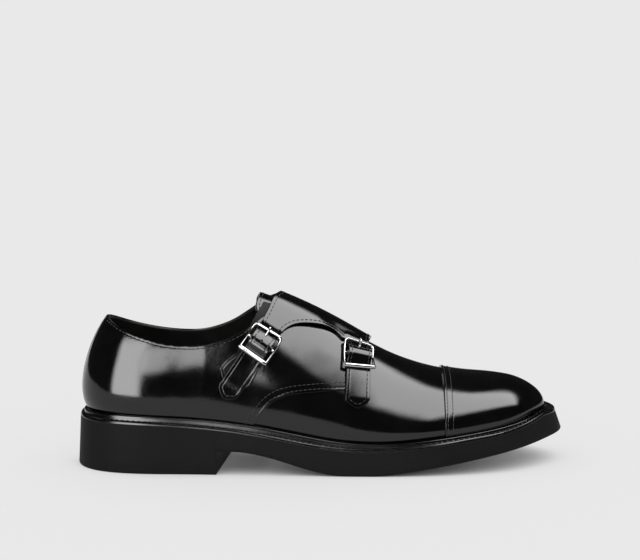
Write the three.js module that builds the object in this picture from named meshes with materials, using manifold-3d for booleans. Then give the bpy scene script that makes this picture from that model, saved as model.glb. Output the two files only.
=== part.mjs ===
// A right-foot double monk strap shoe: hollow leather upper, toe cap, tongue, strap flap, two buckles, welt,
// insole and one-piece rubber sole. Millimetres, +X heel to toe, -Y lateral (buckle side), +Z up.
import * as THREE from 'three';
import { mergeVertices } from 'three/addons/utils/BufferGeometryUtils.js';
import Module from 'manifold-3d';

const wasm = await Module();
wasm.setup();

// ---------------------------------------------------------------- driving dimensions
const WALL = 2.2;              // leather and lining of the upper
const OVERLAP = 0.01;          // solids that are joined run into each other by this much
const GAP = 0.3;               // clearance between neighbouring pieces
const CAP_THICK = 1.1;         // toe cap leather
const TONGUE_THICK = 1.8;
const FLAP_THICK = 1.8;        // strap leather, lined
const FLAP_LIFT = 2.0;         // how far the flap stands off the instep at its front edge
const INSOLE_THICK = 3.0;
const INSOLE_DROP = 1.5;       // underside of the insole below the seat line
const WELT_THICK = 2.6;
const WELT_REACH = 9.0;        // how far the welt runs in under the upper
const HEEL_SEAM = 14.8;        // height of the arch at the breast of the heel
const BREAST_LATERAL = 88.0;   // x of the heel's front face on the lateral side
const BREAST_MEDIAL = 97.5;     // and on the medial side
const HEEL_HALF_WIDTH = 40;     // the two breast positions hold at this distance from the middle
const ARCH_END = 172.0;        // the forefoot's flat spot starts
const SPRING_START = 188.0;    // and ends
const SPRING_POWER = 1.16;
const TOE_SPRING = 19.0;       // height of the sole's underside at the toe
const SOLE_TIP = 309.0;
const CAP_LINE = 231.0;        // x of the toe cap's edge at the ridge
const CAP_SKEW = -0.037;       // its turn towards the inner side, mm of x per mm of y
const ROW_STEPS = 3;           // facets between two rows of the last
const LEG_STEPS = 12;          // facets from the seat line to the spine
const BEYOND = 80;             // past the shoe's widest, where cutters end
const SHELL_DROP = 12;         // how far a form runs below the seat line so that a shell opens downwards
const WELT_EDGE = 0.6;         // bevel of the welt's outer edge
const WELT_BEAD = 2.2;         // reach of the bead that covers the seam under the upper
const CAP_RISE = 1.2;          // the toe cap's lower edge above the seat line
const CAP_SKIRT = 5;           // reach of the cut that trims it
const FLAP_MIDDLE = 3;         // y where the flap's lateral and medial outlines meet
const CENTRE = [153.9, 8.7];   // middle of the shoe's plan, which becomes the origin

// The last. One row per station along the seat line, heel back to toe tip: x, half widths, height of the
// seat, x where the section reaches the spine, section radius at the spine, outward lean and rise of the
// side walls.
const LAST = [
  // x, lateral, medial, seat, spineX, radius, leanLateral, leanMedial, riseLateral, riseMedial
  [5.2, 0, 0, 36.6, 41, 20.5, 10.5, 10.5, 0.18, 0.18],
  [12.8, 19.5, 19.5, 37.2, 47, 24, 9, 9, 0.2, 0.2],
  [36, 30, 30, 37, 60, 22.5, 6, 6, 0.26, 0.26],
  [66, 31.8, 31.5, 36, 80, 19.5, 4.5, 4, 0.32, 0.32],
  [98, 33.5, 30.5, 33.3, 103, 17, 5, 2.5, 0.38, 0.36],
  [130, 35.5, 32, 28.2, 130, 15, 6, 3.5, 0.42, 0.42],
  [164, 37, 40, 22, 164, 17.5, 5, 5, 0.42, 0.44],
  [198, 37.5, 51, 20.6, 197.5, 24, 4, 3, 0.4, 0.45],
  [229, 35, 54.5, 23.3, 226, 36, 3.5, 2.5, 0.42, 0.5],
  [258, 26.8, 49.8, 26.6, 248, 37, 3, 2.5, 0.46, 0.48],
  [280, 13.8, 40, 29.8, 262, 27, 2.5, 2.5, 0.45, 0.45],
  [292.8, -2, 27, 33, 268.5, 23.5, 1.8, 1.8, 0.42, 0.42],
  [297, -13, 13, 34.6, 270.5, 22.5, 1.4, 1.4, 0.42, 0.42],
];
// The spine, where both sides of the last meet: x, y, height.
const SPINE = [
  [41, 0, 109.5], [60, 0, 111], [80, 0, 113.5], [103, 0, 115], [130, 1, 107.2], [164, 3.5, 89.9],
  [197.5, 6.2, 70.9], [226, 8.5, 60.7], [248, 10.5, 56.7], [262, 11.5, 55.5], [270.5, 12.3, 54.4],
];
// Sole: x, reach of the welt beyond the seat line, height of the welt's top edge, flare of the wall's lower
// edge.
const EDGE = [
  [0, 4.9, 33.6, 0.7], [40, 5.2, 33.2, 0.7], [66, 5.4, 31.9, 0.8], [91, 5.6, 29.8, 1.1],
  [116, 5.7, 26.3, 1.3], [141, 5.9, 21.6, 1.4], [162, 6, 18.4, 1.5], [182, 6.1, 17.2, 1.5],
  [202, 6.2, 17.8, 1.6], [225, 6.3, 20.2, 1.7],
  [250, 6.6, 23.2, 1.8], [270, 6.8, 25.6, 2.2], [285, 7.2, 29.2, 2.7], [297, 8.2, 33.2, 3.7],
];
const HEEL_FLARE = 1.3;        // flare of the heel's wall at the floor
// Edge of the opening: x, height on the lateral side, height on the medial side. Beyond the collar it is the
// slit that the flap covers.
const TOPLINE = [
  [0, 97, 97], [17, 95.6, 95.6], [29, 89.5, 89.4], [39, 85.6, 85.6], [55, 81.5, 82.2], [68, 80.3, 81.1],
  [77, 80.3, 81.4], [88, 82.4, 84], [98, 85.8, 88], [109, 92, 95.4], [116, 95.5, 101], [128, 95.5, 103.5],
  [142, 93.5, 98.5], [156, 91.5, 93.5], [168, 90, 91], [176, 90, 91],
];

// ---------------------------------------------------------------- curves
/** Solves a small linear system by elimination; rows of right are vectors. */
function solve(matrix, right) {
  const n = matrix.length;
  const a = matrix.map((row) => [...row]);
  const b = right.map((row) => [...row]);
  for (let i = 0; i < n; i += 1) {
    let pivot = i;
    for (let r = i + 1; r < n; r += 1) if (Math.abs(a[r][i]) > Math.abs(a[pivot][i])) pivot = r;
    [a[i], a[pivot]] = [a[pivot], a[i]];
    [b[i], b[pivot]] = [b[pivot], b[i]];
    for (let r = 0; r < n; r += 1) {
      if (r === i || a[r][i] === 0) continue;
      const f = a[r][i] / a[i][i];
      for (let c = i; c < n; c += 1) a[r][c] -= f * a[i][c];
      b[r] = b[r].map((v, c) => v - f * b[i][c]);
    }
  }
  return b.map((row, i) => row.map((v) => v / a[i][i]));
}

/** Cubic spline through values at knots; closed runs back to the first value. Returns value and slope. */
function spline(knots, values, closed = false) {
  const n = values.length;
  const gap = (i) => knots[i + 1] - knots[i];
  const matrix = values.map((_, i) => values.map((__, j) => (i === j ? 1 : 0)));
  const right = values.map((row) => row.map(() => 0));
  for (let i = closed ? 0 : 1; i < (closed ? n : n - 1); i += 1) {
    const before = (i + n - 1) % n;
    const after = (i + 1) % n;
    const hp = gap(before);
    const hn = gap(i);
    matrix[i][i] = 2 * (hp + hn);
    matrix[i][before] = hp;
    matrix[i][after] = hn;
    right[i] = values[i].map((v, c) => 6 * ((values[after][c] - v) / hn - (v - values[before][c]) / hp));
  }
  const bend = solve(matrix, right);
  return (at) => {
    const total = knots[knots.length - 1];
    const p = closed ? ((at % total) + total) % total : Math.min(Math.max(at, knots[0]), total);
    let i = 0;
    while (i < knots.length - 2 && p >= knots[i + 1]) i += 1;
    const j = (i + 1) % n;
    const h = gap(i);
    const u = p - knots[i];
    const w = h - u;
    const value = values[i].map((a, c) => (bend[i][c] * w ** 3 + bend[j][c] * u ** 3) / (6 * h)
      + (a / h - bend[i][c] * h / 6) * w + (values[j][c] / h - bend[j][c] * h / 6) * u);
    const slope = values[i].map((a, c) => (bend[j][c] * u ** 2 - bend[i][c] * w ** 2) / (2 * h)
      - (a / h - bend[i][c] * h / 6) + (values[j][c] / h - bend[j][c] * h / 6));
    return { value, slope };
  };
}

/** Straight interpolation down a table by its first column. */
function lookUp(table, x, column) {
  if (x <= table[0][0]) return table[0][column];
  for (let i = 1; i < table.length; i += 1) {
    if (x <= table[i][0]) {
      const f = (x - table[i - 1][0]) / (table[i][0] - table[i - 1][0]);
      return table[i - 1][column] + f * (table[i][column] - table[i - 1][column]);
    }
  }
  return table[table.length - 1][column];
}

// ---------------------------------------------------------------- the last's surface
const ROWS = LAST.length - 1;
// Once along the lateral side and back along the medial side: x, y, seat, spineX, radius, lean, rise.
const LOOP = [
  ...LAST.map((r) => [r[0], -r[1], r[3], r[4], r[5], r[6], r[8]]),
  ...LAST.slice(1, ROWS).reverse().map((r) => [r[0], r[2], r[3], r[4], r[5], r[7], r[9]]),
];
const chord = LOOP.map((row, i) => {
  const next = LOOP[(i + 1) % LOOP.length];
  return Math.hypot(next[0] - row[0], next[1] - row[1]);
});
const KNOTS = [0];
chord.forEach((length, i) => KNOTS.push(KNOTS[i] + 0.5 * (length + chord[chord.length - 1 - i])));
const seatLoop = spline(KNOTS, LOOP, true);
const spineCurve = spline(SPINE.map((r) => r[0]), SPINE.map((r) => [r[1], r[2]]));

/** Everything about the station s, measured round the seat line from the heel back by the lateral side. */
function station(s) {
  const { value, slope } = seatLoop(s);
  const [x, y, seat, spineX, radius, lean, rise] = value;
  const out = new THREE.Vector3(slope[1], -slope[0], 0).normalize();
  const foot = new THREE.Vector3(x, y, seat);
  const ridge = spineCurve(spineX);
  const top = new THREE.Vector3(spineX, ridge.value[0], ridge.value[1]);
  const height = top.z - seat;
  const wall = foot.clone().addScaledVector(out, lean);
  wall.z += rise * height;
  const across = new THREE.Vector3(x - top.x, y - top.y, 0).normalize();
  const reach = Math.sqrt((2 / 3) * (1 - rise) * height * radius);
  const along = (across.x + across.y * ridge.slope[0]) / (1 + ridge.slope[0] ** 2);
  const shoulder = top.clone().addScaledVector(across, reach);
  shoulder.z += reach * along * ridge.slope[1];
  const [turn, climb] = ridge.slope;
  const up = new THREE.Vector3(-climb, -turn * climb, 1 + turn ** 2).normalize();
  return { foot, out, up, leg: new THREE.CubicBezierCurve3(foot, wall, shoulder, top) };
}

const lastPoint = (s, t) => station(s).leg.getPoint(t);

/** Outward normal of the last's surface. */
function lastNormal(s, t) {
  if (t > 0.999) return station(s).up;
  const ds = lastPoint(s + 0.05, t).sub(lastPoint(s - 0.05, t));
  const dt = lastPoint(s, Math.min(t + 0.002, 1)).sub(lastPoint(s, Math.max(t - 0.002, 0)));
  return ds.cross(dt).normalize();
}

/** Stations at equal steps between the rows of the last. */
const STATIONS = [];
for (let i = 0; i < LOOP.length; i += 1) {
  const length = KNOTS[i + 1] - KNOTS[i];
  for (let k = 0; k < ROW_STEPS; k += 1) STATIONS.push(KNOTS[i] + (k / ROW_STEPS) * length);
}
const COUNT = STATIONS.length;
const mirrorOf = (i) => (COUNT - i) % COUNT;
const SEAT = STATIONS.slice(0, COUNT / 2 + 1).map((s) => [station(s).foot.x, station(s).foot.z]);

// ---------------------------------------------------------------- solids
/** A closed mesh as a manifold-3d solid. */
function solidOf(points, triangles) {
  const geometry = new THREE.BufferGeometry();
  const places = points.flatMap((p) => [p.x, p.y, p.z]);
  geometry.setAttribute('position', new THREE.Float32BufferAttribute(places, 3));
  geometry.setIndex(triangles.flat());
  return solidFrom(geometry);
}

function solidFrom(source) {
  const geometry = source.clone();
  geometry.deleteAttribute('normal');
  geometry.deleteAttribute('uv');
  const merged = mergeVertices(geometry, 1e-4);
  const index = merged.getIndex().array;
  const kept = [];
  for (let i = 0; i < index.length; i += 3) {
    const [a, b, c] = [index[i], index[i + 1], index[i + 2]];
    if (a !== b && b !== c && c !== a) kept.push(a, b, c);
  }
  const vertProperties = new Float32Array(merged.getAttribute('position').array);
  return new wasm.Manifold(new wasm.Mesh({ numProp: 3, vertProperties, triVerts: new Uint32Array(kept) }));
}

/** Rings of points, each as long as the others, joined by quads that are split along the one diagonal. */
function ringWalls(rings, triangles, slant = false) {
  const n = rings[0].length;
  for (let r = 0; r + 1 < rings.length; r += 1) {
    for (let i = 0; i < n; i += 1) {
      const [a, b] = [rings[r][i], rings[r][(i + 1) % n]];
      const [c, d] = [rings[r + 1][i], rings[r + 1][(i + 1) % n]];
      if (slant) triangles.push([a, b, c], [b, d, c]);
      else triangles.push([a, b, d], [a, d, c]);
    }
  }
}

/** Strips across a ring of the last's stations, from each lateral point to its medial partner. */
function capAcross(ring, triangles, facing) {
  for (let i = 0; i < COUNT / 2; i += 1) {
    const [a, b, c, d] = [ring[i], ring[i + 1], ring[mirrorOf(i + 1)], ring[mirrorOf(i)]];
    if (facing > 0) triangles.push([a, b, c], [a, c, d]);
    else triangles.push([a, c, b], [a, d, c]);
  }
}

/** A solid between rings that run round the last's stations, bottom ring first. */
function stackOf(ringsOfPoints) {
  const points = ringsOfPoints.flat();
  const rings = ringsOfPoints.map((_, r) => STATIONS.map((__, i) => r * COUNT + i));
  const triangles = [];
  ringWalls(rings, triangles);
  capAcross(rings[0], triangles, -1);
  capAcross(rings[rings.length - 1], triangles, 1);
  return solidOf(points, triangles);
}

/** The closed form of the last, grown by offset(s, t) along its normal, let down below the seat by drop. */
function dome(offset, drop = 0) {
  const rings = [];
  for (let k = 0; k <= LEG_STEPS; k += 1) {
    const t = k / LEG_STEPS;
    rings.push(STATIONS.map((s) => lastPoint(s, t).addScaledVector(lastNormal(s, t), offset(s, t))));
  }
  if (drop) rings.unshift(rings[0].map((p) => p.clone().setZ(p.z - drop)));
  return stackOf(rings);
}

/** Height of the seat at x, where the upper ends. */
const seatOf = (x) => lookUp(SEAT, x, 1);

/** Points beside the seat line: reach outward, at a height worked out for each x. */
function rim(reach, height) {
  return STATIONS.map((s) => {
    const { foot, out } = station(s);
    const p = foot.clone().addScaledVector(out, reach(foot.x));
    return p.setZ(height(p.x));
  });
}

/** A block between an outline in x and z on the plane y = from and a like one on y = to. */
function blockAcross(outlineFrom, outlineTo, from, to) {
  const points = [
    ...outlineFrom.map(([x, z]) => new THREE.Vector3(x, from, z)),
    ...outlineTo.map(([x, z]) => new THREE.Vector3(x, to, z)),
  ];
  const n = outlineFrom.length;
  const face = THREE.ShapeUtils.triangulateShape(outlineFrom.map(([x, z]) => new THREE.Vector2(x, z)), []);
  const turn = THREE.ShapeUtils.area(outlineFrom.map(([x, z]) => new THREE.Vector2(x, z))) > 0;
  const triangles = [];
  const add = (a, b, c) => triangles.push(turn ? [a, b, c] : [a, c, b]);
  face.forEach(([a, b, c]) => {
    const flip = THREE.ShapeUtils.area([a, b, c].map((v) => new THREE.Vector2(...outlineFrom[v]))) > 0;
    const [p, q, r] = flip === turn ? [a, b, c] : [a, c, b];
    add(p, q, r);
    add(p + n, r + n, q + n);
  });
  for (let i = 0; i < n; i += 1) {
    const j = (i + 1) % n;
    add(i, j + n, j);
    add(i, i + n, j + n);
  }
  return solidOf(points, triangles);
}

/** A straight prism with the same outline on both planes. */
const prismAcross = (outline, from, to) => blockAcross(outline, outline, from, to);

// ---------------------------------------------------------------- sole
const reachOf = (x) => lookUp(EDGE, x, 1);
const ledgeOf = (x) => lookUp(EDGE, x, 2);
const flareOf = (x) => lookUp(EDGE, x, 3);

/** Height of the sole's underside ahead of the heel, and the arch's own height behind the breast. */
function underside(x) {
  if (x < BREAST_LATERAL) return HEEL_SEAM;
  const arch = Math.min(Math.max(1.12 * (ARCH_END - x) / (ARCH_END - BREAST_LATERAL), 0), 1);
  const spring = Math.max(x - SPRING_START, 0) / (SOLE_TIP - SPRING_START);
  return HEEL_SEAM * (1 - Math.cos(Math.PI * arch)) / 2 + TOE_SPRING * spring ** SPRING_POWER;
}

function buildSole() {
  const bed = (x) => ledgeOf(x) - WELT_THICK - GAP;
  const channel = () => -WELT_REACH - GAP;
  const slab = stackOf([
    rim((x) => reachOf(x) + flareOf(x), underside),
    rim(reachOf, bed),
    rim(channel, bed),
    rim(channel, (x) => seatOf(x) - INSOLE_DROP - GAP),
  ]);
  const block = stackOf([
    rim((x) => reachOf(x) + HEEL_FLARE, () => 0),
    rim((x) => reachOf(x) + flareOf(x), () => HEEL_SEAM + OVERLAP),
  ]);
  const skew = (BREAST_MEDIAL - BREAST_LATERAL) / (2 * HEEL_HALF_WIDTH);
  const front = (y) => {
    const x = BREAST_LATERAL + skew * (y + HEEL_HALF_WIDTH);
    return [[x, -1], [400, -1], [400, HEEL_SEAM + 5], [x, HEEL_SEAM + 5]];
  };
  const heel = block.subtract(blockAcross(front(-BEYOND), front(BEYOND), -BEYOND, BEYOND));
  return slab.add(heel);
}

function buildWelt() {
  const bottom = (x) => ledgeOf(x) - WELT_THICK;
  return ringSolid([
    rim(() => -WELT_REACH, bottom),
    rim(reachOf, bottom),
    rim(reachOf, (x) => ledgeOf(x) - WELT_EDGE),
    rim((x) => reachOf(x) - WELT_EDGE, ledgeOf),
    rim(() => WELT_BEAD + 0.4, ledgeOf),
    rim(() => WELT_BEAD, (x) => Math.max(seatOf(x) - 0.9, ledgeOf(x) + 0.3)),
    rim(() => 0, (x) => seatOf(x) - 0.4),
    rim(() => -WALL - 0.2, (x) => seatOf(x) - 0.4),
    rim(() => -WALL - 0.4, (x) => seatOf(x) - INSOLE_DROP - GAP),
    rim(() => -WELT_REACH, (x) => seatOf(x) - INSOLE_DROP - GAP),
  ]);
}

/** A closed ring whose section is given by the rims, in order. */
function ringSolid(rims) {
  const points = rims.flat();
  const rings = rims.map((_, r) => STATIONS.map((__, i) => r * COUNT + i));
  const triangles = [];
  ringWalls([...rings, rings[0]], triangles, true);
  return solidOf(points, triangles);
}

function buildInsole() {
  const inset = () => -WALL - 0.5;
  return stackOf([
    rim(inset, (x) => seatOf(x) - INSOLE_DROP),
    rim(inset, (x) => seatOf(x) - INSOLE_DROP + INSOLE_THICK),
  ]);
}

// ---------------------------------------------------------------- upper and overlays
/** The space above the topline, which the collar and the slit are cut by. */
function openingCutter() {
  const lip = 150;
  const inner = 12;            // the two sides' heights blend between these distances from the middle
  const outline = (side) => [
    [-30, lip], [-30, TOPLINE[0][side]], ...TOPLINE.map((r) => [r[0], r[side]]), [176, lip],
  ];
  const lateral = prismAcross(outline(1), -BEYOND, -inner);
  const middle = blockAcross(outline(1), outline(2), -inner, inner);
  const medial = prismAcross(outline(2), inner, BEYOND);
  return lateral.add(middle).add(medial);
}

function buildUpper() {
  const hollow = dome(() => 0).subtract(dome(() => -WALL, SHELL_DROP));
  return hollow.subtract(openingCutter());
}

function buildToeCap() {
  const cap = dome(() => GAP + CAP_THICK).subtract(dome(() => GAP, SHELL_DROP));
  const x = (y) => CAP_LINE + CAP_SKEW * (y - 8);
  const behind = (y) => [[-50, -10], [x(y), -10], [x(y), 200], [-50, 200]];
  const skirt = stackOf([
    rim(() => CAP_SKIRT, (x) => seatOf(x) - 2 * SHELL_DROP),
    rim(() => CAP_SKIRT, (x) => seatOf(x) + CAP_RISE),
  ]);
  return cap.subtract(blockAcross(behind(-BEYOND), behind(BEYOND), -BEYOND, BEYOND)).subtract(skirt);
}

function buildTongue() {
  const outer = -(WALL + GAP);
  const shell = dome(() => outer).subtract(dome(() => outer - TONGUE_THICK, SHELL_DROP));
  // seen from above: x, y of the tongue's outline
  const plan = [[113, -19], [120, -21.5], [140, -22], [160, -20], [174, -15], [176, 4], [174, 22], [160, 25],
    [140, 23], [120, 21], [113, 18], [112, 0]];
  const shape = new THREE.Shape(plan.map(([x, y]) => new THREE.Vector2(x, y)));
  const prism = new THREE.ExtrudeGeometry(shape, { depth: 100, bevelEnabled: false });
  prism.translate(0, 0, 60);
  return shell.intersect(solidFrom(prism));
}

// ---------------------------------------------------------------- straps and buckles
/** The point of the lateral side at x and z in the side view, as s and t. */
function onSide(x, z) {
  let s = KNOTS[1] + x;
  let t = 0.5;
  for (let k = 0; k < 30; k += 1) {
    const p = lastPoint(s, t);
    const ds = lastPoint(s + 0.1, t).sub(p).multiplyScalar(10);
    const dt = lastPoint(s, t + 0.001).sub(p).multiplyScalar(1000);
    const det = ds.x * dt.z - ds.z * dt.x;
    const [ex, ez] = [x - p.x, z - p.z];
    s += THREE.MathUtils.clamp((ex * dt.z - ez * dt.x) / det, -12, 12);
    t = THREE.MathUtils.clamp(t + THREE.MathUtils.clamp((ez * ds.x - ex * ds.z) / det, -0.1, 0.1), 0, 0.97);
  }
  return [s, t];
}

// The two straps: a point on the centre line at the buckle and the way down the strap, both in the side view,
// the width, and how far the strap runs above and below the buckle's middle.
const STRAPS = {
  rear: { at: [116.2, 81.6], down: [-0.574, -0.819], width: 14, above: 15.5, below: 42 },
  front: { at: [176.9, 71.4], down: [0, -1], width: 15.2, above: 14, below: 35.6 },
};
const STRAP_POINT = 5.5;       // length of a strap's pointed end
// Height of a strap's underside above the last: u from the buckle's middle down the strap, height. It comes
// off the flap, dips under the upper bar, rises over the centre bar and dips again under the roller.
const STRAP_HEIGHT = [
  [-18, 2], [-14, 1.6], [-11.5, 1], [-9.5, 0.7], [-7.5, 1.1], [-4, 3.6], [-1.8, 4.95], [1.8, 4.95], [4, 4],
  [7, 2], [9, 1.7], [14, 1.7], [19, 1.7], [24, 1.7], [29, 1.7], [34, 1.1],
];
const BUCKLE_LENGTH = 18;      // between the middles of its end bars, along the strap
const BUCKLE_WIDTH = 19.4;     // between the middles of its side bars
const BUCKLE_CORNER = 2.4;
const WIRE = 0.8;              // radius of the frame
const BAR = 0.75;              // radius of the centre bar
const ROLLER = 1.4;            // radius of the lower bar
const UPPER_BAR_HEIGHT = 4.0;  // heights of the three bars above the last
const CENTRE_BAR_HEIGHT = 2.7;
const ROLLER_HEIGHT = 5.3;
const ROLLER_PAST = 0.7;       // how far the lower bar stands out beyond the side bars' middles
const PRONG = 0.65;            // radius of the prong
const PRONG_PAST = 1.6;        // how far its tip runs past the upper bar's middle
const PRONG_HOLE = 1.0;        // radius of its hole in the strap
const EYE_HALF = 1.2;          // half the eye's length along the bar
const STRAP_TIP = 0.8;         // half width of the strap's blunt point
const EYE_INNER = 1.05;        // the prong's eye round the centre bar
const EYE_OUTER = 1.8;
const TAB_THICK = 0.9;         // leather that holds the centre bar
const TAB_FOLD = 6.4;          // half the length of the tab's fold
const TAB_SLEEVE = 2.0;        // radius of the fold
const TAB_SLOT = 1.6;          // half the gap in its fold, where the prong's eye sits
// Plan of each tab under its strap: u, w of its corners from the fold down.
const TABS = {
  rear: [[-2, -7.6], [-2, 7.2], [12, 7.6], [21, 9], [26, 9.4], [30, 6.5], [31, -8], [27, -12.6], [21, -12],
    [12, -9]],
  front: [[-2, -6.8], [-2, 6.8], [20, 6.8], [25, 4], [25, -4], [20, -6.8]],
};

/** Walks down a strap's centre line: returns a function giving the point u down, w forward and h out. */
function strapFrame(strap) {
  const [dx, dz] = strap.down;
  const step = 0.5;
  const tables = { 1: [], [-1]: [] };
  for (const way of [1, -1]) {
    let [x, z] = strap.at;
    let last = null;
    let u = 0;
    while (Math.abs(u) < 60) {
      const [s, t] = onSide(x, z);
      const p = lastPoint(s, t);
      if (last) u += way * p.distanceTo(last.p);
      last = { u, s, t, p, n: lastNormal(s, t) };
      tables[way].push(last);
      x += way * dx * step;
      z += way * dz * step;
      if (t > 0.96 || t < 0.01) break;
    }
  }
  const rows = [...tables[-1].slice(1).reverse(), ...tables[1]];
  const centre = (u) => {
    let i = 1;
    while (i < rows.length - 1 && rows[i].u < u) i += 1;
    const [a, b] = [rows[i - 1], rows[i]];
    const f = (u - a.u) / (b.u - a.u);
    return {
      p: a.p.clone().lerp(b.p, f),
      n: a.n.clone().lerp(b.n, f).normalize(),
      d: b.p.clone().sub(a.p).normalize(),
    };
  };
  return (u, w, h) => {
    const { p, n, d } = centre(u);
    const across = n.clone().cross(d).normalize();      // forward, towards the toe
    const flat = p.clone().addScaledVector(across, w);
    if (Math.abs(w) < 1e-6) return flat.addScaledVector(n, h);
    const [s, t] = onSide(flat.x, flat.z);
    return lastPoint(s, t).addScaledVector(lastNormal(s, t), h);
  };
}

/** A round bar through points, with flat ends. */
function bar(points, radius, sides) {
  const loops = points.map((p, i) => {
    const before = points[Math.max(i - 1, 0)];
    const after = points[Math.min(i + 1, points.length - 1)];
    return { p, along: after.clone().sub(before).normalize() };
  });
  let side = new THREE.Vector3(0, 0, 1).cross(loops[0].along);
  if (side.length() < 0.1) side = new THREE.Vector3(0, 1, 0).cross(loops[0].along);
  const rings = [];
  const vertices = [];
  loops.forEach(({ p, along }, r) => {
    side = side.addScaledVector(along, -side.dot(along)).normalize();
    const up = along.clone().cross(side);
    rings.push([]);
    for (let k = 0; k < sides; k += 1) {
      const angle = (2 * Math.PI * k) / sides;
      rings[r].push(vertices.length);
      const arm = side.clone().multiplyScalar(Math.cos(angle)).addScaledVector(up, Math.sin(angle));
      vertices.push(p.clone().addScaledVector(arm, radius));
    }
  });
  const triangles = [];
  ringWalls(rings, triangles);
  for (let k = 1; k + 1 < sides; k += 1) {
    const [first, last] = [rings[0], rings[rings.length - 1]];
    triangles.push([first[0], first[k + 1], first[k]], [last[0], last[k], last[k + 1]]);
  }
  return solidOf(vertices, triangles);
}

/** The prong's line from its eye, through the strap and over the upper bar. */
function prongLine(frame) {
  const rest = UPPER_BAR_HEIGHT + WIRE + GAP + PRONG;
  const eye = CENTRE_BAR_HEIGHT + (EYE_INNER + EYE_OUTER) / 2;
  const upper = -BUCKLE_LENGTH / 2;
  const line = [[0.2, eye], [-2.4, eye - 0.02], [-5.5, 4.6], [upper, rest], [upper - PRONG_PAST, rest]];
  return line.map(([u, h]) => frame(u, 0, h));
}

function buildStrap(strap, frame) {
  const half = strap.width / 2;
  const shoulder = strap.below - STRAP_POINT;
  const inside = STRAP_HEIGHT.map((r) => r[0]).filter((u) => u > -strap.above && u < shoulder);
  const stations = [-strap.above, ...inside, shoulder];
  const section = (u, reach) => {
    const low = lookUp(STRAP_HEIGHT, u, 1);
    const high = low + FLAP_THICK;
    return [[-reach, low], [0, low], [reach, low], [reach, high], [0, high], [-reach, high]];
  };
  const loops = stations.map((u) => section(u, half).map(([w, h]) => frame(u, w, h)));
  loops.push(section(strap.below, STRAP_TIP).map(([w, h]) => frame(strap.below, w, h)));
  const rings = loops.map((_, r) => [0, 1, 2, 3, 4, 5].map((i) => r * 6 + i));
  const triangles = [];
  ringWalls(rings, triangles);
  [[0, 1, 4], [0, 4, 5], [1, 2, 3], [1, 3, 4]].forEach(([a, b, c]) => {
    const [first, last] = [rings[0], rings[rings.length - 1]];
    triangles.push([first[a], first[c], first[b]], [last[a], last[b], last[c]]);
  });
  const faced = (list) => solidOf(loops.flat(), list);
  const band = faced(triangles);
  return band.volume() > 0 ? band : faced(triangles.map(([a, b, c]) => [a, c, b]));
}

/** The flap over the instep with its two straps, which the buckles hold. */
function buildFlap(frames) {
  const lift = (s, t) => {
    const p = lastPoint(s, t);
    const forward = THREE.MathUtils.smoothstep(p.x, 120, 182);
    const outward = THREE.MathUtils.smoothstep(-p.y, -26, 4);
    const held = 0.62 * THREE.MathUtils.smoothstep(-p.y, 0, 9) * THREE.MathUtils.smoothstep(p.x, 150, 164);
    return GAP + FLAP_LIFT * (0.45 + 0.55 * forward) * outward * (1 - held);
  };
  const shell = dome((s, t) => lift(s, t) + FLAP_THICK).subtract(dome(lift, SHELL_DROP));
  const edge = (name, side, us) => us.map((u) => {
    const p = frames[name](u, side * STRAPS[name].width / 2, 2);
    return [p.x, p.z];
  });
  const lateral = [
    [127.5, 130], [127.5, 110], [124, 107], [120.5, 101.5], [118, 96.5],
    ...edge('rear', -1, [-13, -10]), ...edge('rear', 1, [-10, -13]),
    [131, 89.5], [135, 92], [141, 93], [148, 92.2], [156.5, 90], [163, 87], [168, 82.5],
    ...edge('front', -1, [-12]), ...edge('front', 1, [-12]),
    [186, 78], [184.5, 84], [184.5, 130],
  ];
  const medial = [
    [127.5, 130], [127.5, 112], [120, 104.5], [113.5, 98.5], [110, 90], [112, 84], [150, 72], [184.5, 58],
    [184.5, 130],
  ];
  const outerRegion = prismAcross(lateral, -BEYOND, FLAP_MIDDLE);
  const region = outerRegion.add(prismAcross(medial, FLAP_MIDDLE - OVERLAP, BEYOND));
  let flap = shell.intersect(region);
  Object.keys(STRAPS).forEach((name) => {
    flap = flap.add(buildStrap(STRAPS[name], frames[name]));
  });
  Object.keys(STRAPS).forEach((name) => {
    flap = flap.subtract(bar(prongLine(frames[name]), PRONG_HOLE, 8));
  });
  return flap;
}

function buildBuckleFrame(frame) {
  const end = BUCKLE_LENGTH / 2;
  const half = BUCKLE_WIDTH / 2;
  const tilt = (ROLLER_HEIGHT - UPPER_BAR_HEIGHT) / BUCKLE_LENGTH;
  const bow = ((ROLLER_HEIGHT + UPPER_BAR_HEIGHT) / 2 - CENTRE_BAR_HEIGHT) / end ** 2;
  const height = (u) => CENTRE_BAR_HEIGHT + tilt * u + bow * u * u;
  const side = [end, end * 0.5, 0, -end * 0.5, -end + BUCKLE_CORNER].map((u) => [u, -half]);
  const corner = [0.25, 0.5, 0.75].map((f) => {
    const angle = (f * Math.PI) / 2;
    return [-end + BUCKLE_CORNER * (1 - Math.sin(angle)), -half + BUCKLE_CORNER * (1 - Math.cos(angle))];
  });
  const left = [...side, ...corner, [-end, -half + BUCKLE_CORNER]];
  const right = left.map(([u, w]) => [u, -w]).reverse();
  const hoop = bar([...left, ...right].map(([u, w]) => frame(u, w, height(u))), WIRE, 6);
  const centre = bar([-half, 0, half].map((w) => frame(0, w, CENTRE_BAR_HEIGHT)), BAR, 6);
  const rollerReach = half + ROLLER_PAST;
  const rollerLine = [-rollerReach, 0, rollerReach].map((w) => frame(end, w, ROLLER_HEIGHT));
  const roller = bar(rollerLine, ROLLER, 8);
  return hoop.add(centre).add(roller);
}

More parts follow.
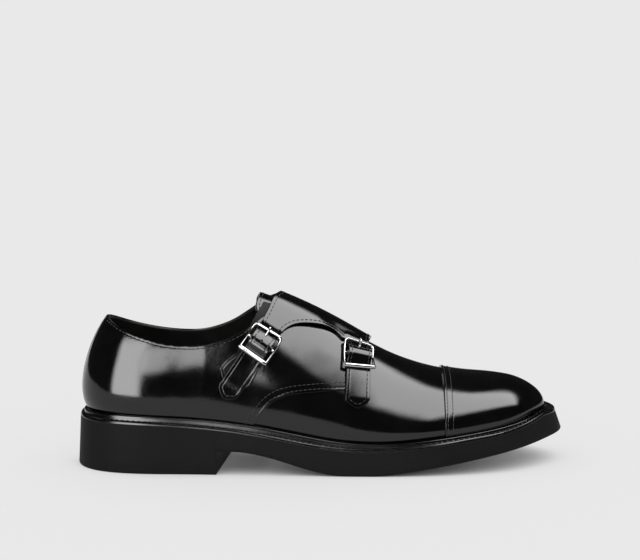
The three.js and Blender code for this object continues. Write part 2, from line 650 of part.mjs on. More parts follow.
function buildProng(frame) {
  const along = (reach) => [-reach, reach].map((w) => frame(0, w, CENTRE_BAR_HEIGHT));
  const eye = bar(along(EYE_HALF), EYE_OUTER, 10);
  const bore = bar(along(EYE_HALF + 0.8), EYE_INNER, 10);
  return eye.add(bar(prongLine(frame), PRONG, 6)).subtract(bore);
}

/** The leather tab under a strap, folded round the centre bar. */
function buildTab(name, frame) {
  const outline = TABS[name].map(([u, w]) => frame(u, w, GAP)).map((p) => [p.x, p.z]);
  const shell = dome(() => GAP + TAB_THICK).subtract(dome(() => GAP, SHELL_DROP));
  const plate = shell.intersect(prismAcross(outline, -BEYOND, -5));
  const line = (reach) => [-reach, reach].map((w) => frame(0, w, CENTRE_BAR_HEIGHT));
  const sleeve = bar(line(TAB_FOLD), TAB_SLEEVE, 10);
  const hole = bar(line(TAB_FOLD + 2), BAR + GAP, 10);
  const [back, front] = line(1);
  const across = front.clone().sub(back).normalize();
  const down = frame(4, 0, CENTRE_BAR_HEIGHT).sub(frame(-4, 0, CENTRE_BAR_HEIGHT)).normalize();
  const slot = new THREE.BoxGeometry(2 * TAB_SLOT, 8, 7);
  slot.applyMatrix4(new THREE.Matrix4().makeBasis(across, down, across.clone().cross(down)));
  slot.translate(...frame(-0.6, 0, CENTRE_BAR_HEIGHT).toArray());
  return plate.add(sleeve).subtract(hole).subtract(solidFrom(slot));
}

// ---------------------------------------------------------------- the shoe
const leather = () => new THREE.MeshStandardMaterial({ color: 0x0c0c0d, roughness: 0.16, metalness: 0 });
const lining = () => new THREE.MeshStandardMaterial({ color: 0x1a1918, roughness: 0.7, metalness: 0 });
const rubber = () => new THREE.MeshStandardMaterial({ color: 0x1b1b1c, roughness: 0.75, metalness: 0 });
const steel = () => new THREE.MeshStandardMaterial({ color: 0xc9c9c6, roughness: 0.2, metalness: 1 });

const shoe = new THREE.Group();
shoe.position.set(-CENTRE[0], -CENTRE[1], 0);

/** Adds a solid to the shoe as a named mesh. */
function addPiece(name, solid, material) {
  const mesh = solid.getMesh();
  const geometry = new THREE.BufferGeometry();
  geometry.setAttribute('position', new THREE.BufferAttribute(new Float32Array(mesh.vertProperties), 3));
  geometry.setIndex([...mesh.triVerts]);
  geometry.computeVertexNormals();
  const piece = new THREE.Mesh(geometry, material);
  piece.name = name;
  shoe.add(piece);
}

const frames = { rear: strapFrame(STRAPS.rear), front: strapFrame(STRAPS.front) };
addPiece('outsole', buildSole(), rubber());
addPiece('welt', buildWelt(), leather());
addPiece('insole', buildInsole(), lining());
addPiece('upper', buildUpper(), leather());
addPiece('toe_cap', buildToeCap(), leather());
addPiece('tongue', buildTongue(), leather());
addPiece('monk_flap', buildFlap(frames), leather());
Object.entries(frames).forEach(([name, frame]) => {
  addPiece(`buckle_frame_${name}`, buildBuckleFrame(frame), steel());
  addPiece(`buckle_prong_${name}`, buildProng(frame), steel());
  addPiece(`buckle_tab_${name}`, buildTab(name, frame), leather());
});

export default shoe;
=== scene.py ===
import math

import bpy
import numpy as np
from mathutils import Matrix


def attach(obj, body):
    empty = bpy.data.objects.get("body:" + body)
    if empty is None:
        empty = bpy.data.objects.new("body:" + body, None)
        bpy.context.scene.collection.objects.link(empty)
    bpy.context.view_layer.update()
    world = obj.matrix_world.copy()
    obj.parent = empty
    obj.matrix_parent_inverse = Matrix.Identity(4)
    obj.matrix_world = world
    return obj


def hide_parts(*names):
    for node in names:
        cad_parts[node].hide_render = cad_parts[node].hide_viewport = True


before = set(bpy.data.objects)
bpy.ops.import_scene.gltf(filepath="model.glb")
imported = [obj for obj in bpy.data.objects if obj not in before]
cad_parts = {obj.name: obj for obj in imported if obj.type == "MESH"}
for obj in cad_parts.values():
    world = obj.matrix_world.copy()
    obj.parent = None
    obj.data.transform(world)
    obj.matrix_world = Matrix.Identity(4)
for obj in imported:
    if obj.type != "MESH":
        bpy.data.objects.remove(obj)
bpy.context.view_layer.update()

# Lengths are in millimetres until a mesh is made. X runs from the heel (0) to the toe (309), -Y is the
# lateral side and Z is up. CENTRE is the middle of the shoe's plan, which is the frame's origin.
CENTRE = np.array([153.9, 8.7, 0.0])
MM = 0.001

# ---- camera
CAMERA_PLACE = (153.5, -1800.0, 419.0)
CAMERA_PITCH = 9.5
CAMERA_LENS = 161.4

camera_data = bpy.data.cameras.new("camera")
camera_data.lens = CAMERA_LENS
camera_data.sensor_width = 36.0
camera_data.clip_end = 20.0
camera = bpy.data.objects.new("camera", camera_data)
camera.location = (np.array(CAMERA_PLACE) - CENTRE) * MM
camera.rotation_euler = (math.radians(90 - CAMERA_PITCH), 0, 0)
bpy.context.scene.collection.objects.link(camera)
bpy.context.scene.camera = camera
bpy.context.scene.view_settings.view_transform = "Standard"

# ---- dimensions
# The last, one row per station along the seat line: x, half widths, height of the seat, x where the section
# reaches the spine, its radius there, outward lean and rise of the side walls.
LAST = np.array([
    # x, lateral, medial, seat, spineX, radius, leanLateral, leanMedial, riseLateral, riseMedial
    (5.2, 0, 0, 36.6, 41, 20.5, 10.5, 10.5, 0.18, 0.18),
    (12.8, 19.5, 19.5, 37.2, 47, 24, 9, 9, 0.2, 0.2),
    (36, 30, 30, 37, 60, 22.5, 6, 6, 0.26, 0.26),
    (66, 31.8, 31.5, 36, 80, 19.5, 4.5, 4, 0.32, 0.32),
    (98, 33.5, 30.5, 33.3, 103, 17, 5, 2.5, 0.38, 0.36),
    (130, 35.5, 32, 28.2, 130, 15, 6, 3.5, 0.42, 0.42),
    (164, 37, 40, 22, 164, 17.5, 5, 5, 0.42, 0.44),
    (198, 37.5, 51, 20.6, 197.5, 24, 4, 3, 0.4, 0.45),
    (229, 35, 54.5, 23.3, 226, 36, 3.5, 2.5, 0.42, 0.5),
    (258, 26.8, 49.8, 26.6, 248, 37, 3, 2.5, 0.46, 0.48),
    (280, 13.8, 40, 29.8, 262, 27, 2.5, 2.5, 0.45, 0.45),
    (292.8, -2, 27, 33, 268.5, 23.5, 1.8, 1.8, 0.42, 0.42),
    (297, -13, 13, 34.6, 270.5, 22.5, 1.4, 1.4, 0.42, 0.42),
], float)
# x, y and height of the spine, where both sides of the last meet
SPINE = [
    (41, 0, 109.5), (60, 0, 111), (80, 0, 113.5), (103, 0, 115), (130, 1, 107.2), (164, 3.5, 89.9),
    (197.5, 6.2, 70.9), (226, 8.5, 60.7), (248, 10.5, 56.7), (262, 11.5, 55.5), (270.5, 12.3, 54.4),
]
# Sole: x, reach of the welt beyond the seat line, height of the welt's top edge, flare of the wall's foot
EDGE = [
    (0, 4.9, 33.6, 1.3), (40, 5.2, 33.2, 1.3), (66, 5.4, 31.9, 1.3), (91, 5.6, 29.8, 1.3),
    (116, 5.7, 26.3, 1.3), (141, 5.9, 21.6, 1.4), (162, 6, 18.4, 1.5), (182, 6.1, 17.2, 1.5),
    (202, 6.2, 17.8, 1.6), (225, 6.3, 20.2, 1.7), (250, 6.6, 23.2, 1.8), (270, 6.8, 25.6, 2.2),
    (285, 7.2, 29.2, 2.7), (297, 8.2, 33.2, 3.7),
]
EDGE_END = EDGE[-1][0]
ARCH_HEIGHT = 14.8
BREAST_LATERAL = 88.0
BREAST_MEDIAL = 97.5
HEEL_HALF_WIDTH = 40.0
ARCH_END = 172.0
SPRING_START = 188.0
SPRING_POWER = 1.16
TOE_SPRING = 19.0
SOLE_TIP = 309.0
BORDER = 3.2             # plain border of the sole's underside
CORNER = 1.1             # rounding of the wall's lower edge
WALL_TOP = -2.45         # top of the rubber wall against the welt's top edge
TREAD_DEPTH = 1.0
TREAD_PITCH = 7.5
BREAST_SIDES = (-37.2, 38.3)             # y of the heel front's ends
WELT_SEAM = 3.2          # from the seat line to the welt's stitches
SOCK_INSET = 2.5         # from the seat line to the sock lining's edge
SOCK_THICK = 1.8
BEAD_MIDDLE = 1.9        # the welt's bead against the upper
BEAD_RADIUS = 0.6
EDGE_ROUND = 4.5         # the welt's rounded outer edge, and the turns of its section
EDGE_TURN = np.radians([35, 29, 23, 17, 11])

VAMP_TOP = -0.5          # heights of the leather layers over the last
QUARTER_TOP = 0.6
CAP_TOP = 0.8
LAYER = 1.3
LINING_TOP = -1.0
LINING_UNDER = -2.2
EDGE_RADIUS = 0.22
STITCH_DIP = 0.045       # depth of the channel that a row of stitches lies in
STITCH_EDGE = 1.9        # from the flap's edges to their stitches
STITCH_TOP = 1.7         # from the topline and the lateral seam to theirs
SECOND_ROW = 4.6         # from the lateral seam to its second row
CAP_ROWS = (1.5, 4.9)    # from the cap's edge to its rows
FLAP_THICK = 1.8
TONGUE_TOP = -2.5
STRAP_POINT = 5.5
STRAPS = {
    "rear": dict(at=(116.2, 81.6), down=(-0.574, -0.819), width=14.0, below=42.0),
    "front": dict(at=(176.9, 71.4), down=(0.0, -1.0), width=15.2, below=35.6),
}
# height of a strap's underside over the last: u down the strap from the buckle's middle, height
STRAP_HEIGHT = np.array([
    (-18, 2), (-14, 1.6), (-11.5, 1), (-9.5, 0.7), (-7.5, 1.1), (-4, 3.6), (-1.8, 4.95), (1.8, 4.95),
    (4, 4), (7, 2), (9, 1.7), (14, 1.7), (29, 1.7), (34, 1.1), (44, 0.9),
])
BUCKLE_LENGTH = 18.0
BUCKLE_WIDTH = 19.4
BUCKLE_CORNER = 2.4
WIRE = 0.8
BAR = 0.75
ROLLER = 1.4
UPPER_BAR_HEIGHT = 4.0
CENTRE_BAR_HEIGHT = 2.7
ROLLER_HEIGHT = 5.3
PRONG = 0.65
TAB_UNDER = {"rear": QUARTER_TOP + 0.02, "front": -0.4}
HOLES = {"rear": -0.7, "front": -4.3}
PRONG_HOLE = -7.0
HOLE = 1.0
PRONG_LOOP = 1.42        # radius of the prong's loop round the centre bar
TAB_FOLD = 2.0           # radius of the tab's fold round the bar
FOLD_SPANS = [(-8.3, -1.6), (1.6, 8.3)]
TABS = {
    "rear": [(-2, -7.6), (-2, 7.2), (12, 7.6), (21, 9), (26, 9.4), (30, 6.5), (31, -8), (27, -12.6),
             (21, -12), (12, -9)],
    "front": [(-2, -6.8), (-2, 6.8), (20, 6.8), (25, 4), (25, -4), (20, -6.8)],
}

# Outlines in the side view: x, z. Their lines are drawn smoothly through these points.
TOPLINE_LATERAL = [
    (6, 97), (12, 96.3), (17, 95.2), (22, 92.8), (29, 89.3), (39, 85.5), (55, 81.5), (68, 80.2), (77, 80.4),
    (88, 82.4), (98, 85.8), (109, 92),
]
TOPLINE_MEDIAL = [
    (6, 97), (12, 96.3), (17, 95.2), (22, 92.7), (29, 89.2), (39, 85.6), (55, 82.2), (68, 81.1), (77, 81.4),
    (88, 84), (98, 88.3), (108, 95), (113.5, 98.9),
]
SEAM = [
    (109.5, 22), (112.1, 31.7), (114.7, 35.6), (119, 41.6), (123.3, 45.6), (130.2, 49.2), (141.1, 51.4),
    (153.7, 52.3), (169.8, 52.9), (186.1, 52.5),
]
SCALLOP = [
    (129.6, 87.8), (134, 90.6), (141, 91.6), (148, 90.8), (156.5, 88.6), (163.1, 85.2), (167.6, 81.2),
]
FLAP_REAR = [(124.4, 107.4), (121, 101.8), (118, 96.6)]
FLAP_RIDGE_REAR = 127.5
FLAP_RIDGE_FRONT = 184.8
CAP_LINE = 231.0
CAP_SKEW = -0.037


# ---- curves
class Curve:
    """Natural cubic spline through a table's rows; the first column is the parameter."""

    def __init__(self, table):
        t = np.asarray(table, float)
        self.x, self.y = t[:, 0], t[:, 1:]
        n, h = len(t), np.diff(self.x)
        a, r = np.eye(n), np.zeros((n, t.shape[1] - 1))
        for i in range(1, n - 1):
            a[i, i - 1:i + 2] = h[i - 1], 2 * (h[i - 1] + h[i]), h[i]
            r[i] = 6 * ((self.y[i + 1] - self.y[i]) / h[i] - (self.y[i] - self.y[i - 1]) / h[i - 1])
        self.m = np.linalg.solve(a, r)

    def __call__(self, x, slope=False):
        x = np.clip(np.asarray(x, float), self.x[0], self.x[-1])
        i = np.clip(np.searchsorted(self.x, x, side="right") - 1, 0, len(self.x) - 2)
        h = (self.x[i + 1] - self.x[i])[..., None]
        u = (x - self.x[i])[..., None]
        return cubic(self.y[i], self.y[i + 1], self.m[i], self.m[i + 1], h, u, slope)


def cubic(a, b, ma, mb, h, u, slope):
    """A spline's value or slope between two rows: values a and b, second derivatives ma and mb."""
    w = h - u
    if slope:
        bent = -ma * w ** 2 / (2 * h) + mb * u ** 2 / (2 * h)
        return bent - (a / h - ma * h / 6) + (b / h - mb * h / 6)
    bent = ma * w ** 3 / (6 * h) + mb * u ** 3 / (6 * h)
    return bent + (a / h - ma * h / 6) * w + (b / h - mb * h / 6) * u


class Loop:
    """Closed cubic spline with knots at the same spacing along both sides."""

    def __init__(self, table):
        self.t = table
        n = len(table)
        chord = np.linalg.norm(np.roll(table[:, :2], -1, 0) - table[:, :2], axis=1)
        self.h = 0.5 * (chord + chord[::-1])
        self.knots = np.concatenate([[0.0], np.cumsum(self.h)])
        self.length = self.knots[-1]
        a, r = np.zeros((n, n)), np.zeros((n, table.shape[1]))
        for i in range(n):
            before, after = self.h[i - 1], self.h[i]
            a[i, i - 1] += before
            a[i, i] += 2 * (before + after)
            a[i, (i + 1) % n] += after
            r[i] = 6 * ((table[(i + 1) % n] - table[i]) / after - (table[i] - table[i - 1]) / before)
        self.m = np.linalg.solve(a, r)

    def __call__(self, s, slope=False):
        s = np.mod(np.asarray(s, float), self.length)
        i = np.clip(np.searchsorted(self.knots, s, side="right") - 1, 0, len(self.t) - 1)
        j = (i + 1) % len(self.t)
        h = self.h[i][..., None]
        u = (s - self.knots[i])[..., None]
        return cubic(self.t[i], self.t[j], self.m[i], self.m[j], h, u, slope)


def smoothstep(x, low, high):
    f = np.clip((np.asarray(x, float) - low) / (high - low), 0, 1)
    return f * f * (3 - 2 * f)


def unit(v):
    return v / np.maximum(np.linalg.norm(v, axis=-1, keepdims=True), 1e-12)


def smooth_line(points, step=0.5):
    """A smooth line through points, as points a step apart."""
    p = np.asarray(points, float)
    if len(p) < 3:
        n = max(int(np.linalg.norm(p[1] - p[0]) / step), 1)
        return p[0] + (p[1] - p[0]) * np.linspace(0, 1, n + 1)[:, None]
    k = np.concatenate([[0], np.cumsum(np.linalg.norm(np.diff(p, axis=0), axis=1))])
    line = Curve(np.column_stack([k, p]))
    return line(np.linspace(0, k[-1], max(int(k[-1] / step), 4)))


# ---- the last's surface
spine_curve = Curve(SPINE)
edge_curve = Curve(EDGE)
COLUMNS = [(0, 0), (1, 2), (3, 3), (4, 4), (5, 5), (6, 7), (8, 9)]       # of LAST: lateral, medial
loop = Loop(np.stack([
    np.concatenate([LAST[:, a] * (-1 if a == 1 else 1), LAST[-2:0:-1, b]]) for a, b in COLUMNS], 1))
TIP = loop.knots[len(LAST) - 1]


def seat_out(s):
    """The way outward from the seat line."""
    d = loop(s, slope=True)
    return unit(np.stack([d[..., 1], -d[..., 0], 0 * d[..., 0]], -1))


def last_point(s, t):
    """The last by s, mm round the seat line, and t, 0 on the seat line to 1 on the spine."""
    s, t = np.broadcast_arrays(np.asarray(s, float), np.asarray(t, float))
    x, y, seat, spine_x, radius, lean, rise = np.moveaxis(loop(s), -1, 0)
    ridge, ridge_slope = spine_curve(spine_x), spine_curve(spine_x, slope=True)
    foot = np.stack([x, y, seat], -1)
    top = np.stack([spine_x, ridge[..., 0], ridge[..., 1]], -1)
    height = top[..., 2] - seat
    wall = foot + seat_out(s) * lean[..., None]
    wall[..., 2] += rise * height
    reach = np.sqrt(2 / 3 * (1 - rise) * height * radius)
    across = unit((foot - top) * np.array([1, 1, 0]))
    along = (across[..., 0] + across[..., 1] * ridge_slope[..., 0]) / (1 + ridge_slope[..., 0] ** 2)
    shoulder = top + across * reach[..., None]
    shoulder[..., 2] += reach * along * ridge_slope[..., 1]
    t = t[..., None]
    return (1 - t) ** 3 * foot + 3 * (1 - t) ** 2 * t * wall + 3 * (1 - t) * t * t * shoulder + t ** 3 * top


HOLLOW_X = np.linspace(60, 200, 561)
HOLLOW = np.cumsum(0.25 * (0.05 * smoothstep(HOLLOW_X, 79.6, 81.6) * (1 - smoothstep(HOLLOW_X, 106, 112))
                           - 0.024 * smoothstep(HOLLOW_X, 110, 116) * (1 - smoothstep(HOLLOW_X, 165, 175))))
HOLLOW -= np.clip((HOLLOW_X - 112) / 60, 0, 1) * HOLLOW[-1]


def hollow(x, z):
    """How far the lateral quarter falls in beside the rear strap."""
    return np.interp(x, HOLLOW_X, HOLLOW) * smoothstep(z, 25, 70)


def surf(q, r):
    """The last by q, mm along the seat line from heel back to toe tip, and r: -1 at the lateral seat line,
    0 on the spine and 1 at the medial seat line."""
    q, r = np.broadcast_arrays(np.asarray(q, float), np.asarray(r, float))
    p = last_point(np.where(r <= 0, q, -q), 1 - np.abs(r))
    p[..., 1] += hollow(p[..., 0], p[..., 2]) * smoothstep(-r, 0.02, 0.3)
    return p


def surf_normal(q, r):
    dq = surf(q + 0.4, r) - surf(q - 0.4, r)
    dr = surf(q, r + 0.006) - surf(q, r - 0.006)
    return unit(np.cross(dr, dq)) * -1


# A reference grid of the surface with its flattened chart: x, and w, the distance down from the spine.
REF_Q = np.linspace(0, TIP, 700)
REF_R = np.linspace(-1.03, 1.03, 413)
REF_P = surf(REF_Q[:, None], REF_R[None, :])
MIDDLE = len(REF_R) // 2
SEAT_COLUMN = 6          # where r is -1
REF_STEPS = np.linalg.norm(np.diff(REF_P, axis=1), axis=-1)
REF_W = np.concatenate([np.zeros((len(REF_Q), 1)), np.cumsum(REF_STEPS, axis=1)], 1)
REF_W -= REF_W[:, MIDDLE:MIDDLE + 1]
REF_X, REF_Z = REF_P[..., 0], REF_P[..., 2]


def from_grid(field, q, r):
    """Bilinear value of a field of the reference grid."""
    a = np.clip(q / TIP * (len(REF_Q) - 1), 0, len(REF_Q) - 1.001)
    b = np.clip((r - REF_R[0]) / (REF_R[-1] - REF_R[0]) * (len(REF_R) - 1), 0, len(REF_R) - 1.001)
    i, j = a.astype(int), b.astype(int)
    f, g = a - i, b - j
    return ((1 - f) * (1 - g) * field[i, j] + f * (1 - g) * field[i + 1, j]
            + (1 - f) * g * field[i, j + 1] + f * g * field[i + 1, j + 1])


def grid_slopes(field, q, r):
    return ((from_grid(field, q + 0.6, r) - from_grid(field, q - 0.6, r)) / 1.2,
            (from_grid(field, q, r + 0.006) - from_grid(field, q, r - 0.006)) / 0.012)


def locate(first, second, a, b, side=0):
    """q and r where two fields of the grid have the values a and b, on one side (-1, 1) or any (0)."""
    a, b = np.atleast_1d(np.asarray(a, float)), np.atleast_1d(np.asarray(b, float))
    columns = {-1: slice(0, MIDDLE + 1), 0: slice(None), 1: slice(MIDDLE, None)}[side]
    fa, fb = first[:, columns][::4, ::4], second[:, columns][::4, ::4]
    q0, r0 = np.meshgrid(REF_Q[::4], REF_R[columns][::4], indexing="ij")
    near = np.argmin((fa.ravel()[None] - a[:, None]) ** 2 + (fb.ravel()[None] - b[:, None]) ** 2, axis=1)
    q, r = q0.ravel()[near].copy(), r0.ravel()[near].copy()
    for _ in range(14):
        ea, eb = a - from_grid(first, q, r), b - from_grid(second, q, r)
        (aq, ar), (bq, br) = grid_slopes(first, q, r), grid_slopes(second, q, r)
        det = aq * br - ar * bq
        det = np.where(np.abs(det) < 1e-3, 1e-3, det)
        q = np.clip(q + np.clip((ea * br - eb * ar) / det, -6, 6), 0, TIP)
        r = np.clip(r + np.clip((eb * aq - ea * bq) / det, -0.08, 0.08), -1.03, 1.03)
    return q, r


def side_chart(points, side):
    """Chart places (x, w) of side-view points (x, z)."""
    p = np.asarray(points, float)
    q, r = locate(REF_X, REF_Z, p[:, 0], p[:, 1], side)
    return np.column_stack([from_grid(REF_X, q, r), from_grid(REF_W, q, r)])


def chart_place(points):
    """q and r of chart places."""
    p = np.asarray(points, float)
    return locate(REF_X, REF_W, p[:, 0], p[:, 1])


# ---- straps' own coordinates
def strap_rows(strap):
    """The strap's centre line over the last: u down the strap, point, way down, way forward."""
    at, down = np.array(strap["at"]), np.array(strap["down"])
    k = np.arange(-60, 110) * 0.5
    places = at + k[:, None] * down
    ridge_z = np.interp(places[:, 0], SPINE_X, SPINE_Z)
    good = (places[:, 1] < ridge_z - 1.5) & (places[:, 1] > 24)
    places = places[good]
    q, r = locate(REF_X, REF_Z, places[:, 0], places[:, 1], -1)
    p, n = surf(q, r), surf_normal(q, r)
    d = unit(np.gradient(p, axis=0))
    u = np.concatenate([[0], np.cumsum(np.linalg.norm(np.diff(p, axis=0), axis=1))])
    zero = np.argmin(np.linalg.norm(places - at, axis=1))
    return u - u[zero], p, d, unit(np.cross(n, d))


SPINE_X = np.linspace(41, 270.5, 400)
SPINE_Z = spine_curve(SPINE_X)[:, 1]
ROWS_OF = {name: strap_rows(strap) for name, strap in STRAPS.items()}


def strap_point(name, u, w, h):
    """The point u down a strap, w forward of its centre line and h over the last."""
    u, w, h = np.broadcast_arrays(*(np.asarray(v, float) for v in (u, w, h)))
    ru, rp, _, ra = ROWS_OF[name]
    middle, way = [np.stack([np.interp(u, ru, rows[:, i]) for i in range(3)], -1) for rows in (rp, ra)]
    flat = middle + unit(way) * w[..., None]
    q, r = locate(REF_X, REF_Z, flat[..., 0].ravel(), flat[..., 2].ravel(), -1)
    p = surf(q, r).reshape(flat.shape)
    n = surf_normal(q, r).reshape(flat.shape)
    return p + n * h[..., None]


def strap_chart(name, us, ws):
    p = strap_point(name, us, ws, 0)
    return side_chart(p[:, [0, 2]], -1)


def strap_coordinates(name, p):
    """u, w of points near a strap."""
    ru, rp, rd, ra = ROWS_OF[name]
    u, w = np.zeros(len(p)), np.zeros(len(p))
    for start in range(0, len(p), 4000):
        block = p[start:start + 4000]
        k = np.argmin(((block[:, None] - rp[None, ::2]) ** 2).sum(-1), axis=1) * 2
        d = block - rp[k]
        u[start:start + 4000] = ru[k] + (d * rd[k]).sum(-1)
        w[start:start + 4000] = (d * ra[k]).sum(-1)
    return u, w


# the heights smoothed, every quarter of a millimetre
SOFT_U = np.linspace(-18, 44, 249)
bell = np.exp(-0.5 * (np.arange(-8, 9) * 0.25 / 0.7) ** 2)
padded = np.interp(np.arange(-8, len(SOFT_U) + 8) * 0.25 - 18, *STRAP_HEIGHT.T)
SOFT_HEIGHTS = np.convolve(padded, bell / bell.sum(), "valid")


def strap_height(u):
    return np.interp(u, SOFT_U, SOFT_HEIGHTS)


def flap_lift(p):
    """Height of the flap's underside over the last, at points of the last."""
    forward = smoothstep(p[:, 0], 120, 182)
    outward = smoothstep(-p[:, 1], -30, 6) * smoothstep(p[:, 0], 70, 112)
    held = 0.62 * smoothstep(-p[:, 1], 0, 9) * smoothstep(p[:, 0], 150, 164)
    lift = -1.0 + (0.3 + 2.0 * (0.45 + 0.55 * forward)) * outward * (1 - held) + outward
    for name, strap in STRAPS.items():
        u, w = strap_coordinates(name, p)
        aside, edge = np.abs(w), strap["width"] / 2
        near = (p[:, 1] < 2) & (u > -20) & (aside < edge + 3)
        share = smoothstep(u, -16, -11.5) * near * (1 - smoothstep(aside, edge + 0.5, edge + 3))
        lift = lift * (1 - share) + strap_height(u) * share
    return lift


# ---- meshes
def new_object(name, vertices, faces, material, slot, replaces=(), sharp=40):
    mesh = bpy.data.meshes.new(name)
    places = (np.asarray(vertices) - CENTRE) * MM
    mesh.from_pydata(places.tolist(), [], [list(map(int, f)) for f in faces])
    mesh.validate()
    mesh.update()
    mesh.shade_smooth()
    mesh.set_sharp_from_angle(angle=math.radians(sharp))
    mesh.materials.append(material)
    piece = bpy.data.objects.new(name, mesh)
    bpy.context.scene.collection.objects.link(piece)
    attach(piece, "root")
    if replaces:
        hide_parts(*replaces)
    return piece


def cut(table, faces, column, level):
    """Splits triangles along the line where a column of the vertex table has the given level."""
    f = table[:, column] - level
    f[np.abs(f) < 2e-3] = 0
    table[:, column] = f + level
    mixed = (f[faces] > 0).any(1) & (f[faces] < 0).any(1)
    kept, torn = faces[~mixed], faces[mixed]
    if not len(torn):
        return table, faces
    edges = np.stack([torn, np.roll(torn, -1, axis=1)], -1).reshape(-1, 2)
    crossing = f[edges[:, 0]] * f[edges[:, 1]] < 0
    unique, inverse = np.unique(np.sort(edges[crossing], axis=1), axis=0, return_inverse=True)
    a, b = f[unique[:, 0]], f[unique[:, 1]]
    share = (a / (a - b))[:, None]
    fresh = table[unique[:, 0]] * (1 - share) + table[unique[:, 1]] * share
    fresh[:, column] = level
    middle = np.full(len(edges), -1)
    middle[crossing] = len(table) + inverse.ravel()
    middle = middle.reshape(-1, 3)
    pieces = [kept]
    for k in range(3):
        p0, p1, p2 = torn[:, k], torn[:, (k + 1) % 3], torn[:, (k + 2) % 3]
        m0, m1, m2 = middle[:, k], middle[:, (k + 1) % 3], middle[:, (k + 2) % 3]
        two = (m0 >= 0) & (m2 >= 0) & (m1 < 0)
        one = (m0 >= 0) & (m1 < 0) & (m2 < 0)
        pieces += [np.stack(c, 1)[two] for c in ((p0, m0, m2), (m0, p1, p2), (m0, p2, m2))]
        pieces += [np.stack(c, 1)[one] for c in ((p0, m0, p2), (m0, p1, p2))]
    return np.concatenate([table, fresh]), np.concatenate(pieces)


def inside_polygon(points, polygon):
    x, y = points[:, 0], points[:, 1]
    inside = np.zeros(len(points), bool)
    for (x0, y0), (x1, y1) in zip(polygon, np.roll(polygon, -1, axis=0)):
        if y0 != y1:
            hit = ((y0 > y) != (y1 > y)) & (x < (x1 - x0) * (y - y0) / (y1 - y0) + x0)
            inside ^= hit
    return inside


FAR = 7.0                # distances past this don't matter
SIDE_LENGTH = 88.0       # about the length of the last's side from the spine to the seat line


def line_distance(points, line):
    """Distance from points to a line of 3D points, or FAR."""
    best = np.full(len(points), FAR)
    for start in range(0, len(line) - 1, 24):
        part = line[start:start + 25]
        low, high = part.min(0) - FAR, part.max(0) + FAR
        near = np.flatnonzero(((points > low) & (points < high)).all(1))
        if not len(near):
            continue
        a, d = part[:-1], np.diff(part, axis=0)
        v = points[near][:, None] - a[None]
        t = np.clip((v * d[None]).sum(-1) / np.maximum((d * d).sum(-1), 1e-9)[None], 0, 1)
        gap = np.linalg.norm(v - t[..., None] * d[None], axis=-1).min(1)
        best[near] = np.minimum(best[near], gap)
    return best


def outline_field(table_p, chart, outline):
    """Signed distance inside a chart outline; the parts of it that lie off the last make no edge."""
    closed = np.vstack([outline, outline[:1]])
    off = (closed[:, 0] < -20) | (closed[:, 0] > 310) | (np.abs(closed[:, 1]) > 120)
    distance = np.full(len(table_p), float(FAR))
    for run in np.split(np.arange(len(closed)), np.flatnonzero(off)):
        run = run[~off[run]]
        if len(run) > 1:
            distance = np.minimum(distance, line_distance(table_p, surf(*chart_place(closed[run]))))
    return np.where(inside_polygon(chart, outline), distance, -distance)


def flat_grid(first, second):
    """A grid over two rows of values, as a vertex table and triangles."""
    x, y = np.meshgrid(first, second, indexing="ij")
    index = np.arange(x.size).reshape(x.shape)
    a, b = index[:-1, :-1].ravel(), index[1:, :-1].ravel()
    c, d = index[1:, 1:].ravel(), index[:-1, 1:].ravel()
    faces = np.concatenate([np.stack([a, b, c], 1), np.stack([a, c, d], 1)])
    return np.column_stack([x.ravel(), y.ravel()]), faces


def dome_grid(q0, q1, r0, r1, step):
    """A grid of the last in q and r, with a row on the spine."""
    def side(a, b):
        return np.linspace(a, b, max(int((b - a) * SIDE_LENGTH / step), 1) + 1)

    rs = np.concatenate([side(r0, 0), side(0, r1)[1:]]) if r1 > 0 else side(r0, 0)
    return flat_grid(np.linspace(q0, q1, max(int((q1 - q0) / step), 2) + 1), rs)


def inner_part(table, faces):
    """The triangles on the inner side of an outline."""
    return faces[(table[faces, 2] >= 0).all(1)]


def used_part(table, faces):
    """The vertices that the triangles use, and the triangles over them."""
    used, inverse = np.unique(faces, return_inverse=True)
    return table[used], inverse.reshape(-1, 3)


def rounded(phi, radius):
    inner = np.clip(radius - phi, 0, radius)
    return radius - np.sqrt(np.maximum(radius ** 2 - inner ** 2, 0))


def close_shell(upper, lower, faces, name, material, slot, replaces=()):
    """One closed mesh from an upper and a lower sheet with the same triangles."""
    n = len(upper)
    edges = np.concatenate([faces[:, [0, 1]], faces[:, [1, 2]], faces[:, [2, 0]]])
    key = np.sort(edges, axis=1)
    _, index, count = np.unique(key, axis=0, return_index=True, return_counts=True)
    rim = edges[index[count == 1]]
    sides = [(b, a, a + n) for a, b in rim] + [(b, a + n, b + n) for a, b in rim]
    all_faces = np.concatenate([faces, faces[:, ::-1] + n, np.array(sides, int)])
    return new_object(name, *used_part(np.concatenate([upper, lower]), all_faces), material, slot, replaces)


def over(height, p):
    """Heights over the last at its points, from a number or a function of them."""
    return height(p) if callable(height) else np.full(len(p), height)


